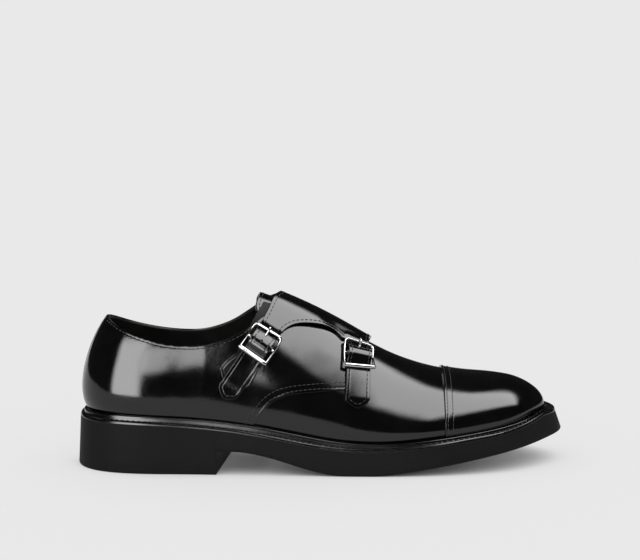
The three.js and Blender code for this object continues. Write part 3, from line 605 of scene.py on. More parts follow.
def panel(name, material, slot, outline, top, bottom, grid, rows=(), radii=(EDGE_RADIUS, 0.15),
          replaces=(), field=None):
    """A leather panel: the last inside a chart outline, with rounded edges and stitch channels."""
    table, faces = dome_grid(*grid)
    p = surf(table[:, 0], table[:, 1])
    chart = np.column_stack([from_grid(REF_X, *table.T), from_grid(REF_W, *table.T)])
    phi = field(p) if field else outline_field(p, chart, outline)
    table = np.column_stack([table, phi])
    radius = max(radii)
    levels = [0, 0.08 * radius, 0.3 * radius, 0.6 * radius, radius]
    for d in rows:
        levels += [d - 0.6, d - 0.25, d, d + 0.25, d + 0.6]
    for level in sorted(levels):
        table, faces = cut(table, faces, 2, level)
        if level == 0:
            faces = inner_part(table, faces)
    table, faces = used_part(table, faces)
    q, r, phi = table.T
    phi = np.maximum(phi, 0)
    p, n = surf(q, r), surf_normal(q, r)
    high = over(top, p) - rounded(phi, radii[0])
    low = over(bottom, p) + rounded(phi, radii[1])
    for d in rows:
        high = high - STITCH_DIP * np.exp(-((phi - d) / 0.32) ** 2)
    return close_shell(p + n * high[:, None], p + n * low[:, None], faces, name, material, slot, replaces)


def tube_mesh(points, radii, sides=12, closed=False, up=(0.3, 0.1, 0.95)):
    """Vertices and faces of a round bar along points."""
    p = np.asarray(points, float)
    n = len(p)
    radii = np.broadcast_to(np.asarray(radii, float), (n,))
    along = unit(np.roll(p, -1, 0) - np.roll(p, 1, 0)) if closed else unit(np.gradient(p, axis=0))
    side = np.cross(along[0], up)
    angle = 2 * math.pi * np.arange(sides)[:, None] / sides
    vertices, faces = [], []
    for i in range(n):
        side = unit(side - along[i] * (side @ along[i]))
        other = np.cross(along[i], side)
        vertices.append(p[i] + radii[i] * (np.cos(angle) * side + np.sin(angle) * other))
    for i in range(n if closed else n - 1):
        j = (i + 1) % n
        for k in range(sides):
            m = (k + 1) % sides
            faces.append((i * sides + k, i * sides + m, j * sides + m, j * sides + k))
    if not closed:
        faces += [tuple(range(sides))[::-1], tuple((n - 1) * sides + k for k in range(sides))]
    return np.concatenate(vertices), faces


class Heap:
    """Many small meshes gathered into one piece."""

    def __init__(self):
        self.vertices, self.faces, self.count = [], [], 0

    def add(self, vertices, faces):
        self.vertices.append(np.asarray(vertices))
        self.faces += [tuple(i + self.count for i in f) for f in faces]
        self.count += len(vertices)

    def make(self, name, material, slot, replaces=(), sharp=40):
        vertices = np.concatenate(self.vertices)
        return new_object(name, vertices, self.faces, material, slot, replaces, sharp)


def add_stitches(heap, points, normals, length=2.1, gap=0.75, width=0.52, sink=0.12):
    """Thread along a line: short rounded bars that dive at both ends."""
    k = np.concatenate([[0], np.cumsum(np.linalg.norm(np.diff(points, axis=0), axis=1))])
    count = int(k[-1] / (length + gap))
    if count < 1:
        return
    starts = (np.arange(count) + 0.5) * k[-1] / count
    f = np.array([-0.5, -0.4, -0.2, 0.2, 0.4, 0.5])
    lift = np.array([-0.25, 0.0, 0.12, 0.12, 0.0, -0.25])
    size = np.array([0.5, 0.85, 1, 1, 0.85, 0.5])
    for at in starts:
        s = at + f * length
        p = np.stack([np.interp(s, k, points[:, i]) for i in range(3)], -1)
        n = unit(np.array([np.interp(at, k, normals[:, i]) for i in range(3)]))
        p = p + n * (lift + 0.5 * width - sink - 0.12)[:, None]
        heap.add(*tube_mesh(p, size * width / 2, sides=6, up=n))


def chart_offset(line, d):
    """A chart line moved d to its left."""
    way = unit(np.gradient(line, axis=0))
    return line + d * np.column_stack([-way[:, 1], way[:, 0]])


def stitch_row(heap, line, height):
    """Stitches along a chart line, on a layer whose height over the last is given."""
    q, r = chart_place(line)
    p, n = surf(q, r), surf_normal(q, r)
    add_stitches(heap, p + n * (over(height, p) - STITCH_DIP)[:, None], n)


# ---- materials
class Shader:
    """A small helper round one node tree."""

    def __init__(self, tree):
        self.tree = tree

    def node(self, kind, **settings):
        """A node with its inputs and settings by name."""
        made = self.tree.nodes.new(kind)
        for key, value in settings.items():
            if key in made.inputs:
                self.put(made.inputs[key], value)
            else:
                setattr(made, key, value)
        return made

    def put(self, socket, value):
        if isinstance(value, bpy.types.NodeSocket):
            self.tree.links.new(value, socket)
        else:
            socket.default_value = value

    def math(self, operation, a, b=0.0, clamp=False):
        made = self.tree.nodes.new("ShaderNodeMath")
        made.operation = operation
        made.use_clamp = clamp
        self.put(made.inputs[0], a)
        self.put(made.inputs[1], b)
        return made.outputs[0]

    def ramp(self, value, low, high, to_low=0.0, to_high=1.0, smooth=True):
        made = self.node("ShaderNodeMapRange", interpolation_type="SMOOTHSTEP" if smooth else "LINEAR")
        for key, v in {"Value": value, "From Min": low, "From Max": high,
                       "To Min": to_low, "To Max": to_high}.items():
            self.put(made.inputs[key], v)
        return made.outputs[0]

    def mix(self, factor, first, second):
        made = self.node("ShaderNodeMix", data_type="RGBA")
        self.put(made.inputs["Factor"], factor)
        made.inputs["A"].default_value = (*first, 1)
        made.inputs["B"].default_value = (*second, 1)
        return made.outputs["Result"]


class Surface(Shader):
    """A new material, with textures in the object's own coordinates."""

    def __init__(self, name):
        self.material = bpy.data.materials.new(name)
        self.material.use_nodes = True
        super().__init__(self.material.node_tree)
        self.principled = next(n for n in self.tree.nodes if n.type == "BSDF_PRINCIPLED")
        self.where = self.node("ShaderNodeTexCoord").outputs["Object"]

    def noise(self, scale, detail, rough):
        return self.node("ShaderNodeTexNoise", Scale=scale, Detail=detail, Roughness=rough,
                         Vector=self.where).outputs["Fac"]

    def bump(self, layers):
        """Chained bumps: (height, distance in metres, strength)."""
        normal = None
        for height, distance, strength in layers:
            made = self.node("ShaderNodeBump", Strength=strength, Distance=distance, Height=height)
            if normal is not None:
                self.put(made.inputs["Normal"], normal)
            normal = made.outputs["Normal"]
        return normal

    def finish(self, **inputs):
        """Sets the Principled node's inputs, named with _ for a space."""
        for key, value in inputs.items():
            self.put(self.principled.inputs[key.replace("_", " ")], value)
        return self.material


def leather(name, colour, shine, pore=0.25, wave=0.5, specular=0.5):
    """Smooth calf with a polish: fine pores, faint waves from lasting, and a patchy shine."""
    s = Surface(name)
    cells = s.node("ShaderNodeTexVoronoi", Scale=1500.0, Vector=s.where)
    pores = s.ramp(cells.outputs["Distance"], 0.05, 0.45)
    patch, grain, waves = s.noise(60.0, 3.0, 0.6), s.noise(900.0, 2.0, 0.6), s.noise(38.0, 1.5, 0.45)
    return s.finish(
        Base_Color=s.mix(s.ramp(patch, 0.3, 0.7), [c * 0.75 for c in colour], [c * 1.3 for c in colour]),
        Roughness=s.ramp(patch, 0.3, 0.7, shine * 0.85, shine * 1.2), Specular_IOR_Level=specular,
        Normal=s.bump([(waves, 0.0007, wave), (grain, 0.00003, 0.5), (pores, 0.00003, pore)]))


def rubber(name):
    s = Surface(name)
    speck, cloud = s.noise(1400.0, 3.0, 0.7), s.noise(45.0, 3.0, 0.6)
    return s.finish(
        Base_Color=s.mix(cloud, (0.007, 0.007, 0.0073), (0.011, 0.011, 0.0115)),
        Roughness=s.ramp(cloud, 0.3, 0.7, 0.5, 0.62), Specular_IOR_Level=0.06,
        Normal=s.bump([(speck, 0.00006, 0.6)]))


def steel(name):
    s = Surface(name)
    haze = s.noise(400.0, 3.0, 0.6)
    return s.finish(
        Base_Color=s.mix(haze, (0.40, 0.395, 0.385), (0.50, 0.495, 0.485)), Metallic=1.0,
        Roughness=s.ramp(haze, 0.3, 0.7, 0.06, 0.12), Normal=s.bump([(haze, 0.00002, 0.3)]))


def thread(name, dark, light, shine):
    s = Surface(name)
    fibre = s.noise(2600.0, 2.0, 0.6)
    return s.finish(
        Base_Color=s.mix(fibre, (dark,) * 3, (light,) * 3), Specular_IOR_Level=shine,
        Roughness=s.ramp(fibre, 0.2, 0.8, 0.35, 0.55), Normal=s.bump([(fibre, 0.00008, 0.6)]))


LEATHER = leather("polished_calf", (0.0022, 0.0022, 0.0024), 0.08)
WELT_LEATHER = leather("welt_leather", (0.0025, 0.0025, 0.0027), 0.16, 0.35, 0.2)
EDGE_LEATHER = leather("tab_leather", (0.0022, 0.0022, 0.0024), 0.12, 0.3, 0.3)
LINING = leather("lining_leather", (0.011, 0.0105, 0.010), 0.42, 0.6, 0.3, 0.1)
HOLE_DARK = leather("hole_shadow", (0.0008, 0.0008, 0.0008), 0.8, 0.2, 0.1)
RUBBER = rubber("matte_rubber")
STEEL = steel("polished_steel")
THREAD = thread("waxed_thread", 0.014, 0.045, 0.35)
# the welt's thread is a darker copy of the upper's thread: partly the thread's own black, and the extra
# darkness is painted shade of the stitched channel it lies in
WELT_THREAD_SHADED = thread("welt_thread_shaded", 0.003, 0.008, 0.1)

# ---- upper
def q_at(x):
    """Where along the seat line x is, on the lateral side."""
    return float(np.interp(x, REF_X[:, SEAT_COLUMN], REF_Q))


def topline(rows, side):
    """The topline in the chart, from where it leaves the back of the last."""
    line = side_chart(smooth_line(rows, 1.0), side)
    first = np.flatnonzero(chart_place(line)[0] > 0.5)[0]
    return line[first - 1:]


top_lateral = topline(TOPLINE_LATERAL, -1)
top_medial = topline(TOPLINE_MEDIAL, 1)
seam_lateral = side_chart(smooth_line(SEAM, 1.0), -1)
seam_medial = side_chart(smooth_line(SEAM, 1.0), 1)
scallop = side_chart(smooth_line(SCALLOP, 1.0), -1)


def strap_edges(name, above_left, above_right):
    """The outline of a strap in the chart: down its rear edge, round the point and up its front edge."""
    strap = STRAPS[name]
    half, end = strap["width"] / 2, strap["below"]
    left = [(u, -half) for u in np.arange(above_left, end - STRAP_POINT, 1.0)]
    right = [(u, half) for u in np.arange(end - STRAP_POINT, above_right, -1.0)]
    tip = [(end - STRAP_POINT, -half), (end - STRAP_POINT * 0.55, -half * 0.62),
           (end - 1.0, -half * 0.18), (end - 0.6, 0), (end - 1.0, half * 0.18),
           (end - STRAP_POINT * 0.55, half * 0.62)]
    places = np.array(left + tip + right)
    return strap_chart(name, places[:, 0], places[:, 1])


rear_strap = strap_edges("rear", -11.8, -7.3)
front_strap = strap_edges("front", -10.5, -11.0)
flap_start = (FLAP_RIDGE_REAR - 0.4, 4.0)
flap_rear = smooth_line(np.vstack([
    [flap_start, (FLAP_RIDGE_REAR, 0.0)], side_chart(FLAP_REAR, -1), rear_strap[:1]]), 1.0)
scallop_line = smooth_line(np.vstack([rear_strap[-1:], scallop[::4], front_strap[:1]]), 1.0)
front_top = front_strap[-1]
flap_front = smooth_line([
    front_top, (front_top[0] - 0.7, front_top[1] * 0.5), (FLAP_RIDGE_FRONT, 0.0), (FLAP_RIDGE_FRONT, 12.0),
    seam_medial[-1] + (0.3, -8.0)], 1.0)
medial_rear = smooth_line(np.vstack([top_medial[-3:], [(120.3, 15.5), (125.5, 9.0), flap_start]]), 1.0)
# past the last's own edges an outline runs straight
medial_outline = np.vstack([
    flap_rear, rear_strap[1:], scallop_line[1:-1], front_strap, flap_front[1:], seam_medial[::-1],
    [seam_medial[0] + (-3.0, 25.0), (-30.0, 140.0), (-30.0, top_medial[0][1])], top_medial[:-3],
    medial_rear[:-1],
])
under_flap = [(118, 97.5), (128, 98.5), (140, 97), (150, 94), (160, 89.5), (170, 83.5), (183, 77),
              (184.3, 70), (184.4, 60)]
lateral_outline = np.vstack([
    top_lateral, side_chart(under_flap, -1), seam_lateral[::-1][1:],
    [seam_lateral[0] + (-3.0, -25.0), (-30.0, -140.0), (-30.0, top_lateral[0][1])],
])


def flap_leather(p):
    """Thickness of the flap, whose middle and straps are a little thicker than the quarter."""
    return 1.6 + 0.2 * smoothstep(-p[:, 1], -25, 0)


def flap_top(p):
    """Outer height of the medial quarter, the flap that it becomes and the straps."""
    return np.maximum(flap_lift(p) + flap_leather(p), QUARTER_TOP)


def flap_under(p):
    return flap_top(p) - flap_leather(p)


panel("quarter_lateral", LEATHER, "upper_leather", lateral_outline, QUARTER_TOP, QUARTER_TOP - LAYER,
      (0, q_at(190), -1.03, -0.03, 1.35), rows=(STITCH_TOP,))
panel("quarter_medial_with_flap", LEATHER, "upper_leather", medial_outline, flap_top, flap_under,
      (0, q_at(200), -0.97, 1.03, 1.15), rows=(STITCH_EDGE,), replaces=("monk_flap",),
      radii=(EDGE_RADIUS, 0.3))


def vamp_outline():
    under = [(163, 66), (150, 61), (135, 58), (122, 53.5), (110, 45), (101, 34), (97, 20)]
    return np.vstack([
        [(177, 0), (175, -9), (170, -15)], side_chart(under, -1),
        [(92, -130), (320, -130), (320, 130), (92, 130)],
        side_chart(under, 1)[::-1], [(170, 15), (175, 9)],
    ])


panel("vamp", LEATHER, "upper_leather", vamp_outline(), VAMP_TOP, VAMP_TOP - LAYER,
      (q_at(88), TIP, -1.03, 1.03, 1.5), replaces=("upper",))


def cap_phi(p):
    """Distance ahead of the cap's edge, along the surface."""
    ahead = p[:, 0] - (CAP_LINE + CAP_SKEW * (p[:, 1] - 8))
    slope = spine_curve(np.clip(p[:, 0], 41, 270), slope=True)[:, 1]
    return np.clip(ahead * np.sqrt(1 + slope ** 2), -FAR, FAR)


panel("toe_cap", LEATHER, "upper_leather", None, CAP_TOP, CAP_TOP - LAYER,
      (q_at(224), TIP, -1.02, 1.02, 1.15), rows=CAP_ROWS, replaces=("toe_cap",), field=cap_phi)

tongue_half = np.array([(116.2, 0), (115.2, 7), (113.6, 14), (113.4, 19), (116, 23), (124, 25), (150, 25),
                        (166, 20), (174, 10), (176, 0)])
tongue_outline = smooth_line(np.vstack([tongue_half, tongue_half[-2::-1] * (1, -1)]), 1.0)[:-1]
panel("tongue", LEATHER, "upper_leather", tongue_outline, TONGUE_TOP, TONGUE_TOP - 1.8,
      (q_at(104), q_at(196), -0.6, 0.6, 1.3), rows=(2.0,), radii=(0.7, 0.6), replaces=("tongue",))


slit = 13.0              # half of the opening in front of the tongue
lining_outline = np.vstack([
    top_lateral, [(118, -slit), (170, -slit), (176, 0), (170, slit), (118, slit)], top_medial[::-1],
    [(-30, top_medial[0][1]), (-30, 140), (330, 140), (330, -140), (-30, -140), (-30, top_lateral[0][1])],
])
panel("lining", LINING, "insole_leather", lining_outline, LINING_TOP, LINING_UNDER,
      (0, q_at(285), -1.0, 1.0, 2.2), radii=(0.2, 0.6))

# ---- stitches in the upper
stitches = Heap()
for line in (chart_offset(top_lateral, -STITCH_TOP)[2:], chart_offset(top_medial[:-3], STITCH_TOP)[2:],
             chart_offset(seam_lateral, STITCH_TOP), chart_offset(seam_lateral, SECOND_ROW),
             chart_offset(seam_medial, -STITCH_EDGE)):
    stitch_row(stitches, line, QUARTER_TOP)
for line in (flap_rear[3:], medial_rear):
    stitch_row(stitches, chart_offset(line, STITCH_EDGE), flap_top)
for line in (scallop_line, flap_front):
    stitch_row(stitches, chart_offset(line, STITCH_EDGE)[2:-2], flap_top)
for name, strap in STRAPS.items():
    # down the rear edge, along both edges of the point and up the front edge
    aside, end = strap["width"] / 2 - STITCH_EDGE, strap["below"]
    turn, point = end - STRAP_POINT - 0.6, (end - STITCH_EDGE - 0.9, 0)
    for line in ([(u, -aside) for u in np.arange(-11.0, turn, 1.0)] + [(turn, -aside)],
                 smooth_line([(turn, -aside), point], 0.7), smooth_line([point, (turn, aside)], 0.7),
                 [(u, aside) for u in np.arange(turn, -9.0, -1.0)]):
        stitch_row(stitches, strap_chart(name, *np.transpose(line)), flap_top)
r_cap = np.linspace(-0.985, 0.985, 300)
for inset in CAP_ROWS:
    q_line = np.full(len(r_cap), q_at(232.0))
    for _ in range(12):
        gap = inset - cap_phi(surf(q_line, r_cap))
        q_line = np.clip(q_line + np.clip(gap, -3, 3) * 0.8, q_at(210), TIP)
    p, n = surf(q_line, r_cap), surf_normal(q_line, r_cap)
    add_stitches(stitches, p + n * (CAP_TOP - STITCH_DIP), n, length=1.9, gap=0.6)
# the tongue's top edge, on both sides of its middle
stitch_row(stitches, chart_offset(tongue_outline[:34], -2.4)[2:], TONGUE_TOP)
stitch_row(stitches, chart_offset(tongue_outline[-34:], -2.4)[:-2], TONGUE_TOP)
stitches.make("upper_stitches", THREAD, "upper_leather")

# ---- buckles
for name in STRAPS:
    end, half = BUCKLE_LENGTH / 2, BUCKLE_WIDTH / 2
    tilt = (ROLLER_HEIGHT - UPPER_BAR_HEIGHT) / BUCKLE_LENGTH
    bow = ((ROLLER_HEIGHT + UPPER_BAR_HEIGHT) / 2 - CENTRE_BAR_HEIGHT) / end ** 2
    side = [(u, -half) for u in np.linspace(end, -end + BUCKLE_CORNER, 14)]
    corner = [(-end + BUCKLE_CORNER * (1 - math.sin(a)), -half + BUCKLE_CORNER * (1 - math.cos(a)))
              for a in np.linspace(0, math.pi / 2, 9)[1:]]
    across = [(-end, w) for w in np.linspace(-half + BUCKLE_CORNER, 0, 6)[1:]]
    left = side + corner + across
    path = np.array(left + [(u, -w) for u, w in left[::-1][1:]])
    heights = CENTRE_BAR_HEIGHT + tilt * path[:, 0] + bow * path[:, 0] ** 2
    metal = Heap()
    metal.add(*tube_mesh(strap_point(name, path[:, 0], path[:, 1], heights), WIRE, 14))
    ws = np.linspace(-half, half, 9)
    metal.add(*tube_mesh(strap_point(name, 0 * ws, ws, CENTRE_BAR_HEIGHT), BAR, 12))
    ws = np.linspace(-half - 0.75, half + 0.75, 15)
    caps = np.interp(np.abs(ws) - half, [-0.4, 0.2, 0.5, 0.75], [ROLLER, ROLLER, 1.25, 0.85])
    metal.add(*tube_mesh(strap_point(name, end + 0 * ws, ws, ROLLER_HEIGHT), caps, 18))
    metal.make(f"buckle_{name}", STEEL, "buckle_steel", (f"buckle_frame_{name}",), sharp=50)
    rest = UPPER_BAR_HEIGHT + WIRE + 0.3 + PRONG
    line = smooth_line([(-0.2, 4.2), (-3.2, 4.0), (-5.6, 4.0), (-7.4, 5.0), (-end, rest),
                        (-end - 1.7, rest - 0.1)], 0.4)
    sizes = np.interp(line[:, 0], [-end - 1.7, -end - 1.1, -end, 0], [0.45, 0.75, 0.8, 0.75])
    pin = Heap()
    pin.add(*tube_mesh(strap_point(name, line[:, 0], 0, line[:, 1]), sizes, 12))
    turn = np.linspace(0, 2 * math.pi, 25)[:-1]
    eye = strap_point(name, PRONG_LOOP * np.cos(turn), 0, CENTRE_BAR_HEIGHT + PRONG_LOOP * np.sin(turn))
    pin.add(*tube_mesh(eye, 0.5, 10, closed=True))
    pin.make(f"prong_{name}", STEEL, "buckle_steel", (f"buckle_prong_{name}",), sharp=50)

    # the tab under the strap
    corners = np.array(TABS[name], float)
    outline = np.vstack([
        np.linspace(a, b, max(int(np.linalg.norm(b - a)), 2), endpoint=False)
        for a, b in zip(corners, np.roll(corners, -1, axis=0))])
    tab_chart = strap_chart(name, *outline.T)
    low, high = tab_chart[:, 0].min(), tab_chart[:, 0].max()
    panel(f"tab_{name}", EDGE_LEATHER, "upper_leather", tab_chart, 1.65, TAB_UNDER[name],
          (q_at(low - 14), q_at(high + 14), -0.98, -0.1, 0.9), rows=(1.5,), radii=(0.22, 0.05),
          replaces=(f"buckle_tab_{name}",))
    fold = Heap()
    for low, high in FOLD_SPANS:
        ws = np.linspace(low, high, 7)
        sizes = TAB_FOLD - rounded(np.minimum(ws - low, high - ws), 0.4)
        fold.add(*tube_mesh(strap_point(name, 0 * ws, ws, CENTRE_BAR_HEIGHT), sizes, 20))
    fold.make(f"tab_fold_{name}", EDGE_LEATHER, "upper_leather", sharp=50)
    # punched holes in the strap, darker discs with a pressed rim
    holes = Heap()
    for u in (HOLES[name], PRONG_HOLE):
        turn = np.linspace(0, 2 * math.pi, 19)[:-1]
        us, ws = u + HOLE * np.cos(turn), HOLE * np.sin(turn)
        edge = strap_point(name, us, ws, strap_height(us) + FLAP_THICK + 0.04)
        low = strap_point(name, us, ws, strap_height(us) + FLAP_THICK - 0.3)
        n = len(turn)
        faces = [tuple(range(n))[::-1], tuple(range(n, 2 * n))]
        faces += [(i, (i + 1) % n, (i + 1) % n + n, i + n) for i in range(n)]
        holes.add(np.concatenate([edge, low]), faces)
    holes.make(f"strap_holes_{name}", HOLE_DARK, "upper_leather")

# ---- welt and sole
WELT_STATIONS = np.linspace(0, loop.length, 601)[:-1]
seat_x, seat_z = loop(REF_Q)[:, [0, 2]].T


def seat_of(x):
    return np.interp(x, seat_x, seat_z)


def at_edge(x):
    """Reach, height and flare of the sole's edge."""
    return np.moveaxis(edge_curve(np.clip(x, 0, EDGE_END)), -1, 0)


def ring(reach, height, stations=WELT_STATIONS):
    """Points round the shoe: reach outward of the seat line, height worked out from x."""
    foot = loop(stations)[:, :3]
    reach = reach(foot[:, 0]) if callable(reach) else reach
    p = foot + seat_out(stations) * np.asarray(reach)[..., None]
    p[:, 2] = height(p[:, 0])
    return p


def swept(name, rings, material, slot, replaces):
    """A closed band through rings of points."""
    count, n = len(rings), len(rings[0])
    faces = []
    for k in range(count):
        m = (k + 1) % count
        faces += [(k * n + (i + 1) % n, m * n + (i + 1) % n, m * n + i, k * n + i) for i in range(n)]
    return new_object(name, np.concatenate(rings), faces, material, slot, replaces)


def reach_at(add):
    return lambda x: at_edge(x)[0] + add


def ledge_at(add):
    return lambda x: at_edge(x)[1] + add


def seat_at(add):
    return lambda x: seat_of(x) + add


# from inside the shoe over the bead, down into the stitched channel and round the outer edge
welt_rings = [ring(-4.0, seat_at(-0.9)), ring(0.7, seat_at(-1.2))]
for a in np.linspace(math.pi, 0, 9):
    welt_rings.append(ring(BEAD_MIDDLE + BEAD_RADIUS * math.cos(a),
                           seat_at(BEAD_RADIUS * math.sin(a) - 1.5)))
welt_rings += [ring(reach, ledge_at(height)) for reach, height in (
    (2.7, -0.1), (3.0, -0.5), (3.4, -0.6), (reach_at(-1.7), -0.5), (reach_at(-1.0), -0.1))]
for a in EDGE_TURN:
    welt_rings.append(ring(reach_at(EDGE_ROUND * (math.cos(a) - math.cos(EDGE_TURN[-1]))),
                           ledge_at(EDGE_ROUND * (math.sin(a) - math.sin(EDGE_TURN[0])) - 0.2)))
welt_rings += [ring(reach, ledge_at(height)) for reach, height in (
    (reach_at(0.0), -2.1), (reach_at(-0.15), -2.3), (reach_at(-0.6), -2.5), (-4.0, -2.5))]
swept("welt", welt_rings, WELT_LEATHER, "welt_leather", ("welt",))

welt_stitches = Heap()
seam_p = ring(WELT_SEAM, ledge_at(-0.4), np.linspace(0, loop.length, 1400))
upward = np.tile([0.0, 0, 1], (len(seam_p), 1))
add_stitches(welt_stitches, seam_p, upward, length=2.7, gap=0.9, width=0.7, sink=0.0)
welt_stitches.make("welt_stitches", WELT_THREAD_SHADED, "welt_leather")


def breast_x(y):
    """The heel's front, a line across the sole."""
    share = (y + HEEL_HALF_WIDTH) / (2 * HEEL_HALF_WIDTH)
    return BREAST_LATERAL + (BREAST_MEDIAL - BREAST_LATERAL) * share


def underside(x):
    """Height of the sole's underside ahead of the heel."""
    arch = np.clip(1.12 * (ARCH_END - x) / (ARCH_END - BREAST_LATERAL), 0, 1)
    spring = np.clip(x - SPRING_START, 0, None) / (SOLE_TIP - SPRING_START)
    return ARCH_HEIGHT * (1 - np.cos(math.pi * arch)) / 2 + TOE_SPRING * spring ** SPRING_POWER


def on_heel(stations):
    p = ring(reach_at(1.0), ledge_at(0), stations)
    return p[:, 0] < breast_x(p[:, 1])


# stations for the wall, doubled at the breast so that the heel ends sharply
wall_s = np.linspace(0, loop.length, 641)[:-1]
heel_side = on_heel(wall_s)
extra = []
for k in np.flatnonzero(heel_side != np.roll(heel_side, -1)):
    a, b = wall_s[k], wall_s[(k + 1) % len(wall_s)]
    for _ in range(30):
        m = 0.5 * (a + b)
        if on_heel(np.array([m]))[0] == heel_side[k]:
            a = m
        else:
            b = m
    extra += [a - 0.01, b + 0.01]
wall_s = np.sort(np.concatenate([wall_s, extra]))
heel_side = on_heel(wall_s)


def wall_ring(inset, up):
    """Points of the wall's foot: inset from its lower corner, up from the underside."""
    p = ring(lambda x: at_edge(x)[0] + at_edge(x)[2] - inset, underside, wall_s)
    p[:, 2] = np.where(heel_side, 0.0, p[:, 2]) + up
    return p


wall_top = ring(reach_at(-0.1), ledge_at(WALL_TOP + 0.1), wall_s)
wall_low = wall_ring(0, CORNER)
sole_rings = [ring(reach_at(reach), ledge_at(WALL_TOP), wall_s) for reach in (-4.0, -0.7)]
sole_rings += [wall_top * (1 - share) + wall_low * share for share in (0.0, 0.15, 0.4, 0.7, 1.0)]
for a in np.linspace(0, math.pi / 2, 6)[1:]:
    sole_rings.append(wall_ring(CORNER * (1 - math.cos(a)), CORNER * (1 - math.sin(a))))
sole_rings += [wall_ring(BORDER, 0), wall_ring(BORDER + 0.5, 0.8), wall_ring(BORDER + 0.6, 4.0)]
swept("outsole_wall", sole_rings, RUBBER, "sole_rubber", ("outsole",))

plan_outline = wall_ring(BORDER + 0.3, 0)[:, :2]


def tread(name, field, base, x0, x1):
    """Underside inside the border: small lugs on a recessed floor."""
    y0, y1, step = -60, 75, 1.25
    table, faces = flat_grid(np.linspace(x0, x1, int((x1 - x0) / step) + 1),
                             np.linspace(y0, y1, int((y1 - y0) / step) + 1))
    closed = np.vstack([plan_outline, plan_outline[:1]])
    flat = np.column_stack([table, 0 * table[:, 0]])
    gap = line_distance(flat, np.column_stack([closed, 0 * closed[:, 0]]))
    phi = np.minimum(np.where(inside_polygon(table, plan_outline), gap, -gap), field(table))
    table, faces = cut(np.column_stack([table, phi]), faces, 2, 0)
    table, faces = used_part(table, inner_part(table, faces))
    x, y, phi = table.T
    row = np.abs(((x + 0.35 * np.abs(y - 6)) / TREAD_PITCH) % 1 - 0.5) * TREAD_PITCH
    lug = smoothstep(row, 0.9, 1.7) * smoothstep(phi, 1.0, 2.0)
    low = np.column_stack([x, y, base(x) + TREAD_DEPTH * (1 - lug) + 0.05])
    return close_shell(low + (0, 0, 2.0), low, faces, name, RUBBER, "sole_rubber")


tread("tread_heel", lambda t: breast_x(t[:, 1]) - t[:, 0] - 3.0, lambda x: 0 * x, -5, 104)
tread("tread_forefoot", lambda t: t[:, 0] - breast_x(t[:, 1]) - 1.0, underside, 84, 312)
table, faces = flat_grid(np.linspace(*BREAST_SIDES, 30), [0.0, 5.0, 10.0, 16.0])
face = np.column_stack([breast_x(table[:, 0]) - 0.02, table])
close_shell(face, face - (3.4, 0, 0), faces, "heel_breast", RUBBER, "sole_rubber")

# ---- inside
# the sock lining, dished a little between the sides of the seat
sock_table, sock_faces = flat_grid(np.linspace(0, TIP, 150), np.linspace(-1, 1, 25))
along, across = sock_table.T
left, right = [loop(k)[:, :3] - seat_out(k) * SOCK_INSET for k in (along, -along)]
sock = left * (1 - across[:, None]) / 2 + right * (1 + across[:, None]) / 2
sock[:, 2] = seat_of(sock[:, 0]) + 1.55 - 0.9 * (1 - across ** 4)
close_shell(sock, sock - (0, 0, SOCK_THICK), sock_faces, "sock_lining", LINING, "insole_leather",
            ("insole",))

# ---- floor, light and backdrop
PALE = 0.815             # the backdrop, and the floor away from the shoe
DARK = 0.03              # what reflections see between the softboxes
FLOOR_LIT = 0.25         # share of the floor's brightness that is light falling on it
SHADOW_REACH = 0.032     # metres
FLOOR_FRONT, FLOOR_BACK, FLOOR_SIDE = -0.3, 4.5, 2.5


def floor_material():
    """A floor as pale as the backdrop, darker only close to the shoe: its lit share takes real shadow, and
    its own glow is dimmed there by ambient occlusion as a painted shadow.
    """
    s = Surface("floor")
    # painted shadow: the floor's glow fades where ambient occlusion finds the shoe close by
    near = s.node("ShaderNodeAmbientOcclusion", samples=8, Distance=SHADOW_REACH)
    open_sky = s.ramp(near.outputs["AO"], 0.0, 0.65, smooth=False)
    return s.finish(
        Base_Color=(*[PALE * FLOOR_LIT] * 3, 1), Emission_Color=(1, 1, 1, 1),
        Emission_Strength=s.math("MULTIPLY", open_sky, PALE * (1 - FLOOR_LIT)),
        Roughness=1.0, Specular_IOR_Level=0.0)


floor_mesh = bpy.data.meshes.new("floor")
floor_mesh.from_pydata([(-FLOOR_SIDE, FLOOR_FRONT, 0), (FLOOR_SIDE, FLOOR_FRONT, 0),
                        (FLOOR_SIDE, FLOOR_BACK, 0), (-FLOOR_SIDE, FLOOR_BACK, 0)], [], [(0, 1, 2, 3)])
floor_mesh.materials.append(floor_material())
floor = bpy.data.objects.new("floor", floor_mesh)
bpy.context.scene.collection.objects.link(floor)

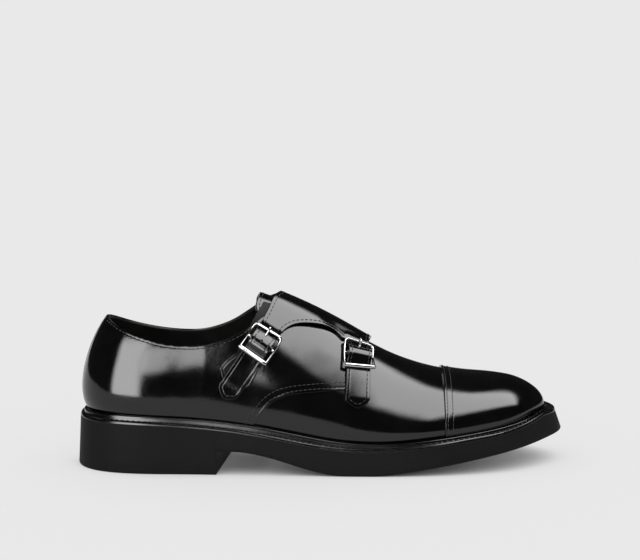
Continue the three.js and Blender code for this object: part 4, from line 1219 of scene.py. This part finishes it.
# Softboxes as soft-edged windows of the sky that only reflections see. Azimuth runs from the camera's side
# towards the toe; each edge is given as its middle and its softness, in degrees. A dip raises the lower
# edge round its middle, by up to its depth, and a climb raises it steadily past its start.
SOFTBOXES = [
    dict(az=(-46, 4.5), az_end=(-15, 3), el=(-12.5, 4.5), el_end=(34, 4.5), strength=9.5),
    dict(az=(-15, 1.2), az_end=(-5.4, 1.2), el=(10, 3.5), el_end=(26, 3.5), strength=7.0),
    dict(az=(14, 4), az_end=(121, 12), el=(33, 6), el_end=(82, 12), strength=7.6,
         dip=(53, 37, 14), climb=(90, 0.55)),
    dict(az=(-172, 6), az_end=(-132, 6), el=(42, 6), el_end=(70, 6), strength=4.0),
]
world = bpy.data.worlds.new("studio")
world.use_nodes = True
bpy.context.scene.world = world
sky = Shader(world.node_tree)
world.node_tree.nodes.clear()
direction = sky.node("ShaderNodeSeparateXYZ", Vector=sky.node("ShaderNodeTexCoord").outputs["Generated"])
turned = sky.math("ARCTAN2", direction.outputs["X"], sky.math("MULTIPLY", direction.outputs["Y"], -1.0))
azimuth = sky.math("MULTIPLY", turned, 180 / math.pi)
elevation = sky.math("MULTIPLY", sky.math("ARCSINE", direction.outputs["Z"]), 180 / math.pi)
glow = DARK
for box in SOFTBOXES:
    lower = elevation
    if "dip" in box:
        middle, half, depth = box["dip"]
        away = sky.math("POWER", sky.math("DIVIDE", sky.math("SUBTRACT", azimuth, middle), half), 2)
        dip = sky.math("MULTIPLY", sky.math("SUBTRACT", 1, away, clamp=True), depth)
        start, steep = box["climb"]
        past = sky.math("MAXIMUM", sky.math("SUBTRACT", azimuth, start), 0)
        lower = sky.math("SUBTRACT", sky.math("SUBTRACT", elevation, dip),
                         sky.math("MULTIPLY", past, steep))
    light = box["strength"]
    for value, (edge, soft), to in ((azimuth, box["az"], 1), (azimuth, box["az_end"], 0),
                                    (lower, box["el"], 1), (elevation, box["el_end"], 0)):
        light = sky.math("MULTIPLY", sky.ramp(value, edge - soft, edge + soft, 1 - to, to), light)
    glow = sky.math("ADD", glow, light)
rays = sky.node("ShaderNodeLightPath")
level = sky.math("MULTIPLY", rays.outputs["Is Camera Ray"], PALE)
level = sky.math("ADD", level, rays.outputs["Is Diffuse Ray"])
level = sky.math("ADD", level, sky.math("MULTIPLY", rays.outputs["Is Glossy Ray"], glow))
background = sky.node("ShaderNodeBackground", Strength=level)
background.inputs["Color"].default_value = (1, 1, 1, 1)
sky.node("ShaderNodeOutputWorld", Surface=background.outputs[0])
